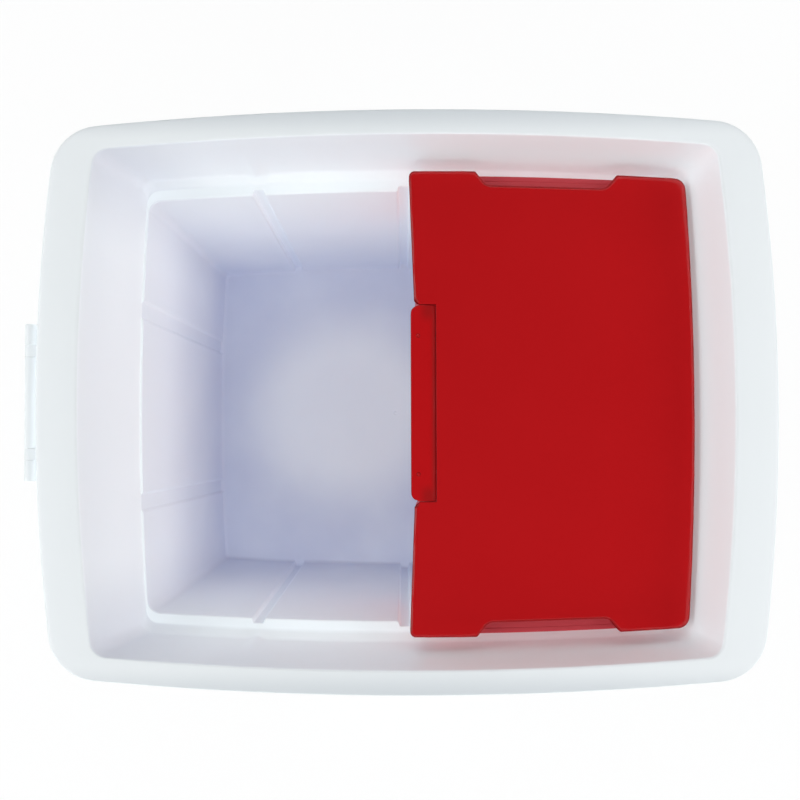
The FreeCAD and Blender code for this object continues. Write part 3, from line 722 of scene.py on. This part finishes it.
def tray_front_push(spot, place):
    """The tray's front steps back behind the V notches beside the lid's tab."""
    off = abs(abs(place) - TAB_HALF)
    return -spot.bump * TRAY_NOTCH * max(1 - off / TRAY_NOTCH_HALF, 0)


def end_edge(spot, x_end, bow, places, push):
    """Points along a +X end at places across it, pushed outwards."""
    points = []
    for place in places:
        reach = bow + push(spot, place)
        turn = math.asin(place / bow)
        points.append(Vector((x_end - bow + reach * math.cos(turn), reach * math.sin(turn))))
    return points


def side_edge(spot, places):
    """Points along the +Y side at places along it."""
    points = []
    base = spot.half_width - spot.side_bow
    for place in places:
        reach = spot.side_bow + side_push(spot, place)
        turn = math.asin(place / spot.side_bow)
        points.append(Vector((reach * math.sin(turn), base + reach * math.cos(turn))))
    return points


def turned_round(points):
    """Points of a +X end on the -X end."""
    return [Vector((-point.x, point.y)) for point in points]


def ring(spot, fluted):
    """The closed ring of points of one station, counterclockwise from the +X end."""
    side = (spot.half_width, spot.side_bow)
    rear = corner_arc(spot.rear, spot.rear_bow, *side, spot.rear_corner)
    front = turned_round(corner_arc(-spot.front, spot.front_bow, *side, spot.front_corner))
    steps = FLUTED_STEPS if fluted else PLAIN_STEPS
    rear_marks = END_MARKS if fluted else [rear[0].y / 2]
    front_marks = END_MARKS if fluted else TRAY_MARKS
    side_marks = SIDE_MARKS if fluted else [(rear[-1].x + front[-1].x) / 2]
    front_push = end_push if fluted else tray_front_push
    rear_places = [0.0] + between(0.0, rear[0].y, rear_marks, steps)
    front_places = between(front[0].y, 0.0, front_marks[::-1], steps) + [0.0]
    side_places = between(rear[-1].x, front[-1].x, side_marks[::-1], steps)
    rear_end = end_edge(spot, spot.rear, spot.rear_bow, rear_places, end_push)
    front_end = turned_round(end_edge(spot, -spot.front, spot.front_bow, front_places, front_push))
    half = rear_end + rear + side_edge(spot, side_places) + front[::-1] + front_end
    whole = half + [Vector((point.x, -point.y)) for point in reversed(half[1:-1])]
    return [(point.x, point.y, spot.z) for point in whole]


def swept(keys, fluted):
    """A closed moulding from a rounded profile that starts and ends on flat faces."""
    return skin([ring(spot, fluted) for spot in rounded_path(keys)])


# Flat shapes: rounded polygons, prisms and domed plates


def rounded_polygon(corners):
    """Points of a polygon whose corners (x, y, radius) are rounded, with one point where the radius is 0."""
    points = []
    count = len(corners)
    for i, (x, y, radius) in enumerate(corners):
        here = Vector((x, y))
        if radius == 0:
            points.append(here)
            continue
        before = (Vector(corners[i - 1][:2]) - here).normalized()
        after = (Vector(corners[(i + 1) % count][:2]) - here).normalized()
        turn = before.angle(after) / 2
        run = radius / math.tan(turn)
        centre = here + (before + after).normalized() * (radius / math.sin(turn))
        first = here + before * run - centre
        swing = first.angle_signed(here + after * run - centre)
        for step in range(POLYGON_STEPS + 1):
            points.append(centre + Matrix.Rotation(-swing * step / POLYGON_STEPS, 2) @ first)
    return points


def inset(points, distance):
    """A counterclockwise polygon moved inwards by a distance."""
    moved = []
    for i, here in enumerate(points):
        before = (here - points[i - 1]).normalized()
        after = (points[(i + 1) % len(points)] - here).normalized()
        ahead = (before + after).normalized()
        moved.append(here + Vector((-ahead.y, ahead.x)) * (distance / max(ahead.dot(after), LEAST_TURN)))
    return moved


def inset_corners(corners, distance):
    """Polygon corners moved inwards, with radii that keep the rounded edges parallel."""
    spots = [Vector(corner[:2]) for corner in corners]
    moved = []
    for i, place in enumerate(inset(spots, distance)):
        before = spots[i] - spots[i - 1]
        after = spots[(i + 1) % len(spots)] - spots[i]
        radius = corners[i][2]
        if radius:
            radius = max(radius - math.copysign(distance, before.cross(after)), LEAST_RADIUS)
        moved.append((place.x, place.y, radius))
    return moved


def prism(outline, start, end, bevel):
    """A solid between two y places over an outline in x and z, with rounded rims."""
    turns = [math.pi / 2 * (1 - step / BEVEL_STEPS) for step in range(BEVEL_STEPS + 1)]
    rim = [(bevel * (1 - math.sin(turn)), bevel * (1 - math.cos(turn))) for turn in turns]
    levels = [(start + place, depth) for place, depth in rim]
    levels += [(end - place, depth) for place, depth in reversed(rim)]
    return skin([[(point.x, place, point.y) for point in inset(outline, depth)] for place, depth in levels])


def span(places, side):
    """The y places of a piece on one side, in rising order."""
    return sorted((places[0] * side, places[1] * side))


def hinge_eye(pivot, radius, root, place, bevel):
    """An eye about a pivot that runs into two root corners, as a prism between two y places."""
    middle = Vector(pivot)
    tail = [Vector(corner) for corner in root]
    away = (middle - (tail[0] + tail[1]) / 2).normalized()
    heading = math.atan2(away.y, away.x)
    turns = [heading - math.pi / 2 + math.pi * step / EYE_STEPS for step in range(EYE_STEPS + 1)]
    outline = [middle + Vector((math.cos(turn), math.sin(turn))) * radius for turn in turns]
    outline += sorted(tail, key=lambda corner: -away.cross(corner - middle))
    return prism(outline, *place, bevel)


def dome(centre, radius, height):
    """A low round pip on a level face."""
    x, y, foot = centre
    rings = []
    for step in range(DOME_STEPS):
        turn = math.pi / 2 * step / DOME_STEPS
        reach = radius * math.cos(turn)
        level = foot + height * math.sin(turn)
        bearings = [math.tau * side / DOME_SIDES for side in range(DOME_SIDES)]
        rings.append([(x + reach * math.cos(at), y + reach * math.sin(at), level) for at in bearings])
    return skin(rings)


def edge_tree(points):
    """A search tree over plan points."""
    tree = KDTree(len(points))
    for i, point in enumerate(points):
        tree.insert((*point, 0), i)
    tree.balance()
    return tree


class Plate:
    """A thin moulded plate with a skirt: corners in plan, the height of its top and the foot of its skirt."""

    def __init__(self, corners, top, foot, under, wall, fillet):
        self.corners = corners
        self.top = top
        self.foot = foot
        self.under = under
        self.wall = wall
        self.fillet = fillet
        edge = rounded_polygon(corners)
        self.counts = [math.ceil((edge[(i + 1) % len(edge)] - point).length / PLATE_PITCH)
                       for i, point in enumerate(edge)]

    def edge(self, distance):
        """Closely spaced points of the plan's edge, moved inwards."""
        points = rounded_polygon(inset_corners(self.corners, distance))
        close = []
        for i, point in enumerate(points):
            step = (points[(i + 1) % len(points)] - point) / self.counts[i]
            close += [point + step * turn for turn in range(self.counts[i])]
        return close

    def rings(self):
        """Rings from the underside round the skirt and up to the top's edge."""
        brim = self.edge(self.fillet)
        feet = [self.foot(point) for point in self.edge(0)]
        tops = [self.top(point) for point in brim]
        rings = [[(*point, self.under) for point in self.edge(self.wall)]]
        rim = ((self.wall, PLATE_LIP), (self.wall - PLATE_LIP, 0), (PLATE_LIP, 0), (0, PLATE_LIP))
        for distance, lift in rim:
            rings.append([(*point, foot + lift) for point, foot in zip(self.edge(distance), feet)])
        for step in range(FILLET_STEPS + 1):
            turn = math.pi / 2 * step / FILLET_STEPS
            drop = self.fillet * (1 - math.sin(turn))
            points = self.edge(self.fillet * (1 - math.cos(turn)))
            rings.append([(*point, top - drop) for point, top in zip(points, tops)])
        return rings

    def surface(self):
        """The top inside its edge, as triangles that follow the height."""
        brim = self.edge(self.fillet)
        near = edge_tree(brim)
        spots = list(brim)
        for distance in PLATE_BANDS:
            spots += [point for point in self.edge(self.fillet + distance)
                      if near.find((*point, 0))[2] > BAND_SHARE * distance]
        low = [min(point[i] for point in brim) for i in (0, 1)]
        high = [max(point[i] for point in brim) for i in (0, 1)]
        for i in range(int((high[0] - low[0]) / PLATE_GRID) + 1):
            for j in range(int((high[1] - low[1]) / PLATE_GRID) + 1):
                point = Vector((low[0] + i * PLATE_GRID, low[1] + j * PLATE_GRID))
                if near.find((*point, 0))[2] > GRID_CLEAR:
                    spots.append(point)
        made = delaunay_2d_cdt(spots, [], [list(range(len(brim)))], INSIDE_ONLY, MERGE)
        return [(*point, self.top(point)) for point in made[0]], [tuple(face) for face in made[2]]

    def parts(self):
        """The skirt and underside, and the top."""
        return [skin(self.rings(), last_cap=False), self.surface()]


def make_tub():
    """The tub in one skin: floor, walls, ledge, collar, rolled rim, skirt, outside and base."""
    outside = grown(FLOOR, WALL)
    under_ledge = LEDGE_TOP - WALL
    skirt = grown(RIM, -RIM_WALL)
    keys = [
        (station(grown(FLOOR, -FLOOR_RUN), FLOOR_TOP), 0),
        (station(FLOOR, FLOOR_TOP, flute=1), TUB_ROUND.floor),
        (station(WELL, LEDGE_TOP, flute=1), TUB_ROUND.well),
        (station(LEDGE, LEDGE_TOP), TUB_ROUND.ledge),
        (station(COLLAR, BAND_TOP, bump=1), TUB_ROUND.band),
        (station(COVE, COVE_LEVEL), TUB_ROUND.cove),
        (station(MOUTH, RIM_TOP - MOUTH_DROP), TUB_ROUND.mouth),
        (station(CREST, RIM_TOP), TUB_ROUND.crest),
        (station(RIM, RIM_TOP - RIM_DROP), TUB_ROUND.rim),
        (station(RIM, SKIRT_FOOT), TUB_ROUND.skirt),
        (station(skirt, SKIRT_FOOT), TUB_ROUND.skirt),
        (station(skirt, RIM_UNDER), TUB_ROUND.under),
        (station(grown(MOUTH, WALL), RIM_UNDER), TUB_ROUND.under),
        (station(grown(COLLAR, WALL), under_ledge), TUB_ROUND.under),
        (station(grown(WELL, WALL), under_ledge, rib=1), TUB_ROUND.seat),
        (station(outside, 0, rib=1), TUB_ROUND.base),
        (station(grown(outside, -BASE_RUN), 0), 0),
    ]
    return add_piece("tub_shell", [swept(keys, True)], WHITE, "box", ["tub"])


def grip_shelf(side):
    """The tray's shelf under a finger notch, which closes the tray there."""
    outer = FLANGE.half_width - SHELF_EDGE
    inner = outer - SHELF_WIDTH
    front = NOTCH_MIDDLE - SHELF_HALF
    rear = NOTCH_MIDDLE + SHELF_HALF
    edge = [(front, inner, SHELF_INNER_ROUND), (rear, inner, SHELF_INNER_ROUND),
            (rear, outer, SHELF_OUTER_ROUND), (front, outer, SHELF_OUTER_ROUND)]
    flat = prism(rounded_polygon(edge), FLANGE_FOOT, FLANGE_TOP - SHELF_STEP, SHELF_BEVEL)
    return [(x, y * side, z) for x, z, y in flat[0]], flat[1]


def divider(middle):
    """A low wall across the tray, sunk a little into its walls and floor."""
    front = BASIN.front + DIVIDER_BITE
    rear = BASIN.rear - DIVIDER_BITE
    foot = TRAY_FLOOR - DIVIDER_BITE
    wall = [(front, foot, DIVIDER_FOOT_ROUND), (rear, foot, DIVIDER_FOOT_ROUND),
            (rear, DIVIDER_TOP, DIVIDER_TOP_ROUND), (front, DIVIDER_TOP, DIVIDER_TOP_ROUND)]
    return prism(rounded_polygon(wall), middle - DIVIDER_HALF, middle + DIVIDER_HALF, DIVIDER_BEVEL)


def make_tray():
    """The tray's flange, shoulder and basin in one skin, with its dividers, shelves and hinge ears."""
    inside = grown(BASIN, -TRAY_WALL)
    cup = grown(TRAY, -TRAY_WALL)
    keys = [
        (station(grown(inside, -TRAY_FLOOR_RUN), TRAY_FLOOR), 0),
        (station(inside, TRAY_FLOOR, bump=1), TRAY_ROUND.floor),
        (station(inside, SHOULDER_TOP, bump=1), TRAY_ROUND.shoulder),
        (station(cup, SHOULDER_TOP, bump=1), TRAY_ROUND.cup),
        (station(cup, FLANGE_TOP, bump=1), TRAY_ROUND.flange),
        (station(FLANGE, FLANGE_TOP, bump=1), TRAY_ROUND.flange),
        (station(FLANGE, FLANGE_FOOT, bump=1), TRAY_ROUND.flange),
        (station(TRAY, FLANGE_FOOT, bump=1), TRAY_ROUND.under),
        (station(TRAY, TRAY_SEAT, bump=1), TRAY_ROUND.seat),
        (station(BASIN, TRAY_SEAT, bump=1), TRAY_ROUND.seat),
        (station(BASIN, TRAY_BASE, bump=1), TRAY_ROUND.base),
        (station(grown(BASIN, -TRAY_BASE_RUN), TRAY_BASE), 0),
    ]
    parts = [swept(keys, False)]
    root_x = LID_PIVOT[0] - EAR_REACH
    root = [(root_x, FLANGE_TOP - EAR_BITE), (root_x, LID_PIVOT[1] + KNUCKLE)]
    for side in (-1, 1):
        parts.append(divider(side * BASIN.half_width / TRAY_BAYS))
        parts.append(grip_shelf(side))
        parts.append(hinge_eye(LID_PIVOT, KNUCKLE, root, span(EARS, side), EYE_BEVEL))
    return add_piece("tray_body", parts, TRAY_RED, "tray", ["tray_base"])


# The lid and its snap tab


def lid_side(x):
    """Half the lid's width at a place along it."""
    return LID.half_width - LID.side_bow + math.sqrt(LID.side_bow ** 2 - x ** 2)


def lid_rear(y):
    """The lid's rear edge at a place across it."""
    return LID.rear - LID.rear_bow + math.sqrt(LID.rear_bow ** 2 - y ** 2)


def mirrored(corners):
    """Corners on the -Y side that match those on the +Y side, in reverse order."""
    return [(x, -y, radius) for x, y, radius in reversed(corners)]


def notch_corners():
    """The corners of the +Y finger notch, from its rear end to its front end."""
    reaches = (NOTCH_HALF_BRIM, NOTCH_HALF_FLOOR, -NOTCH_HALF_FLOOR, -NOTCH_HALF_BRIM)
    depths = (0, NOTCH_DEPTH, NOTCH_DEPTH, 0)
    places = [NOTCH_MIDDLE + reach for reach in reaches]
    return [(x, lid_side(x) - depth, radius) for x, depth, radius in zip(places, depths, NOTCH_ROUND)]


def lid_corners():
    """The lid's plan: bowed edges, rounded rear corners, finger notches and the bay of the snap tab."""
    rear_y = lid_side(lid_rear(LID.half_width))
    bay = TAB_HALF + TAB_GAP
    upper = [(lid_rear(y), y, 0) for y in LID_REAR_PLACES]
    upper.append((lid_rear(rear_y), rear_y, LID.rear_corner))
    upper += [(x, lid_side(x), 0) for x in LID_SIDE_PLACES]
    upper += notch_corners()
    upper.append((LID_FRONT_PLACE, lid_side(LID_FRONT_PLACE), 0))
    upper.append((LID_CORNER_X, lid_side(LID_CORNER_X), LID.front_corner))
    upper.append((LID_FRONT_X, bay + NOTCH_RUN, V_ROUND.mouth))
    upper.append((TAB_SHOULDER, bay, V_ROUND.shoulder))
    upper.append((TAB_CREASE + TAB_GAP, bay, V_ROUND.crease))
    return upper + mirrored(upper[1:])


def lid_edge():
    """Close points along the lid's outer edge, without the bay of the snap tab."""
    outline = rounded_polygon(lid_corners())
    points = []
    for start, end in zip(outline, outline[1:] + outline[:1]):
        run = end - start
        count = math.ceil(run.length)
        points += [start + run * step / count for step in range(count)]
    return [point for point in points if abs(point.y) > TAB_HALF + 2 * TAB_GAP or point.x > NOTCH_MIDDLE]


def make_lid():
    """The lid with its rolled edges, and the lugs that its pins run in."""
    rim = edge_tree(lid_edge())
    middle = (LID.rear + LID.front) / 2

    def top(point):
        inwards = min(rim.find((*point, 0))[2] / LID_ROLL, 1)
        sag = LID_SAG * ((point[0] - middle) / middle) ** 2 + LID_SAG * (point[1] / LID.half_width) ** 2
        return LID_TOP - LID_DROP * (1 - inwards) ** 2 - sag

    def foot(point):
        along = TAB_SHOULDER - BAY_BEFORE < point[0] < TAB_CREASE + BAY_BESIDE
        across = abs(point[1]) < TAB_HALF + BAY_BESIDE
        return LID_UNDER - SKIRT_DROP if along and across else LID_FOOT

    parts = Plate(lid_corners(), top, foot, LID_UNDER, LID_WALL, LID_FILLET).parts()
    root = [(LID_PIVOT[0] + reach, LID_UNDER + LUG_BITE) for reach in (-KNUCKLE, KNUCKLE)]
    for side in (-1, 1):
        parts.append(hinge_eye(LID_PIVOT, KNUCKLE, root, span(LUGS, side), EYE_BEVEL))
    return add_piece("lid_plate", parts, RED, "lid", ["tray_lid"])


def make_tab():
    """The snap tab: a plate a step below the lid, sunk at its crease, with a lip and two pips."""
    half = [(TAB_CREASE, TAB_HALF, TAB_ROUND.crease), (TAB_SHOULDER, TAB_HALF, TAB_ROUND.shoulder),
            (TAB_EDGE, TAB_HALF - TAB_TAPER, TAB_ROUND.edge)]

    def top(point):
        off = min((TAB_CREASE - point[0]) / CREASE_WIDTH, 1)
        end = max(1 - (TAB_HALF - abs(point[1])) / CREASE_DIP_LENGTH, 0)
        rear = min(max((point[0] - TAB_EDGE - CREASE_DIP_FROM) / CREASE_DIP_RUN, 0), 1)
        return TAB_TOP - CREASE_DEPTH * (1 - off) ** 2 - CREASE_DIP * end * rear

    def foot(point):
        return TAB_FOOT if point[0] < TAB_EDGE + TAB_LIP else TAB_UNDER - SKIRT_DROP

    corners = half + mirrored(half)
    parts = Plate(corners, top, foot, TAB_UNDER, TAB_WALL, TAB_FILLET).parts()
    parts += [dome((PIP_X, y, TAB_TOP - PIP_SUNK), PIP_RADIUS, PIP_HEIGHT) for y in PIP_PLACES]
    return add_piece("tab_plate", parts, TAB_RED, "tab", ["lid_tab"])


# The end latch


def make_latch():
    """The latch: a plate with a finger lip, hung on three lengths of barrel."""
    face = LATCH_PIVOT[0] - BARREL
    back = face + LATCH_PLATE
    neck = LATCH_PIVOT[1] - BARREL - LATCH_NECK
    lip_top = LATCH_FOOT + LATCH_PLATE
    plate = [(back, neck + LATCH_LAP, 0), (face, neck + LATCH_LAP, 0), (face, lip_top, LATCH_ROUND.crook),
             (face - LATCH_LIP, lip_top, LATCH_ROUND.lip), (face - LATCH_LIP, LATCH_FOOT, LATCH_ROUND.lip),
             (back, LATCH_FOOT, LATCH_ROUND.foot)]
    parts = [prism(rounded_polygon(plate), -LATCH_HALF, LATCH_HALF, LATCH_BEVEL)]
    start = math.atan2(-math.sqrt(BARREL ** 2 - (BARREL - LATCH_PLATE) ** 2), LATCH_PLATE - BARREL)
    turns = [start + (math.pi - start) * step / BARREL_STEPS for step in range(BARREL_STEPS + 1)]
    loop = [Vector((back, neck))]
    loop += [Vector(LATCH_PIVOT) + Vector((math.cos(turn), math.sin(turn))) * BARREL for turn in turns]
    loop += [Vector((face, neck))]
    inner = LUG_MIDDLE - SLOT_HALF
    outer = LUG_MIDDLE + SLOT_HALF
    for low, high in ((-LATCH_HALF, -outer), (-inner, inner), (outer, LATCH_HALF)):
        parts.append(prism(loop, low, high, BARREL_BEVEL))
    return add_piece("latch_bar", parts, LATCH_WHITE, "latch", ["end_latch"])


def make_latch_lugs():
    """The two lugs on the tub's end that carry the latch."""
    parts = []
    root = [(-RIM.rear + RIM_WALL, LATCH_PIVOT[1] + reach) for reach in (-BARREL, 0)]
    for side in (-1, 1):
        place = span((LUG_MIDDLE - LUG_HALF, LUG_MIDDLE + LUG_HALF), side)
        parts.append(hinge_eye(LATCH_PIVOT, BARREL, root, place, BARREL_BEVEL))
    return add_piece("latch_lugs", parts, LATCH_WHITE, "box")


def make_gate_mark():
    """The small moulding mark on the tub's floor."""
    mark = dome((*GATE_MARK, FLOOR_TOP - PIP_SUNK), GATE_RADIUS, GATE_HEIGHT)
    return add_piece("gate_mark", [mark], WHITE, "box")


# Studio


def background_rays(tree):
    """1 for rays that show the background: seen straight, mirrored or through glass."""
    path = tree.nodes.new("ShaderNodeLightPath")
    value = path.outputs["Is Camera Ray"]
    for other in ("Is Glossy Ray", "Is Transmission Ray"):
        value = combine(tree, "MAXIMUM", value, path.outputs[other])
    return value


def add_floor():
    """A wide pale floor with a glow that leaves a faint shadow and runs into the white backdrop."""
    material, tree, main = shader("studio_floor")
    main.inputs["Base Color"].default_value = (*grey(STUDIO_SHADE), 1)
    main.inputs["Roughness"].default_value = STUDIO_ROUGHNESS
    glow = tree.nodes.new("ShaderNodeEmission")
    glow.inputs["Strength"].default_value = 1.0
    place = tree.nodes.new("ShaderNodeTexCoord").outputs["Object"]
    share = product(tree, background_rays(tree), spread(tree, place, (0, 0, 0), *FLOOR_GLOW))
    mixed = tree.nodes.new("ShaderNodeMixShader")
    tree.links.new(share, mixed.inputs["Fac"])
    tree.links.new(main.outputs["BSDF"], mixed.inputs[1])
    tree.links.new(glow.outputs["Emission"], mixed.inputs[2])
    tree.links.new(mixed.outputs["Shader"], tree.nodes["Material Output"].inputs["Surface"])
    mesh = bpy.data.meshes.new("studio_floor")
    quarters = ((-1, -1), (1, -1), (1, 1), (-1, 1))
    corners = [(x * STUDIO_REACH, y * STUDIO_REACH, 0) for x, y in quarters]
    mesh.from_pydata(corners, [], [tuple(range(len(corners)))])
    mesh.materials.append(material)
    floor = bpy.data.objects.new("studio_floor", mesh)
    bpy.context.scene.collection.objects.link(floor)


def add_world():
    """A tent of soft light with a dark top: white where it shows, dimmer where it lights."""
    world = bpy.data.worlds.new("studio_tent")
    world.use_nodes = True
    bpy.context.scene.world = world
    tree = world.node_tree
    height = split_axes(tree, tree.nodes.new("ShaderNodeTexCoord").outputs["Generated"])["Z"]
    mixed = tree.nodes.new("ShaderNodeMix")
    mixed.data_type = "RGBA"
    tree.links.new(background_rays(tree), mixed.inputs["Factor"])
    for side, end in ((TENT_SIDE, "A"), (1, "B")):
        tree.links.new(ramp(tree, height, grey(side), grey(TENT_TOP)), mixed.inputs[end])
    tree.links.new(mixed.outputs["Result"], tree.nodes["Background"].inputs["Color"])


def add_softbox(name, azimuth, elevation, power, fill):
    """A soft lamp round the box at a bearing and a height, aimed at its middle."""
    lamp = bpy.data.lights.new(name, "AREA")
    lamp.shape = "RECTANGLE"
    lamp.size, lamp.size_y = LAMP_SIZE
    lamp.energy = power
    lamp.color = LAMP_TINT
    lamp.use_shadow = not fill
    light = bpy.data.objects.new(name, lamp)
    bearing = math.radians(azimuth)
    rise = math.radians(elevation)
    away = Vector((math.cos(bearing) * math.cos(rise), math.sin(bearing) * math.cos(rise), math.sin(rise)))
    light.location = Vector((0, 0, LEDGE_TOP * MM)) + away * LAMP_DISTANCE
    light.rotation_euler = away.to_track_quat("Z", "Y").to_euler()
    light.visible_glossy = not fill
    bpy.context.scene.collection.objects.link(light)


def add_camera():
    """The camera at the photo's angle: straight above, a little turned, with its axis off the middle."""
    data = bpy.data.cameras.new("photo_camera")
    data.sensor_width = SENSOR_WIDTH
    data.lens = CAMERA_FOCAL / FRAME_SIDE * SENSOR_WIDTH
    data.shift_x = (FRAME_SIDE / 2 - CAMERA_AXIS[0]) / FRAME_SIDE
    data.shift_y = (CAMERA_AXIS[1] - FRAME_SIDE / 2) / FRAME_SIDE
    ahead = Vector((math.sin(CAMERA_PAN), math.sin(CAMERA_TILT), -1)).normalized()
    right = (Vector((1, 0, 0)) - ahead * ahead.x).normalized()
    up = right.cross(ahead)
    across = right * math.cos(CAMERA_ROLL) + up * math.sin(CAMERA_ROLL)
    above = up * math.cos(CAMERA_ROLL) - right * math.sin(CAMERA_ROLL)
    camera = bpy.data.objects.new("photo_camera", data)
    turn = Matrix((across, above, -ahead)).transposed().to_4x4()
    camera.matrix_world = Matrix.Translation(Vector(CAMERA_PLACE) * MM) @ turn
    bpy.context.scene.collection.objects.link(camera)
    bpy.context.scene.camera = camera


make_tub()
make_gate_mark()
make_latch_lugs()
make_latch()
make_tray()
make_lid()
make_tab()
for pin in ("latch_pin", "lid_pin_left", "lid_pin_right"):
    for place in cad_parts[pin].material_slots:
        place.material = STEEL

add_floor()
add_world()
for name, lamp in LAMPS.items():
    add_softbox(name, *lamp)
add_camera()
bpy.context.scene.view_settings.view_transform = "Standard"
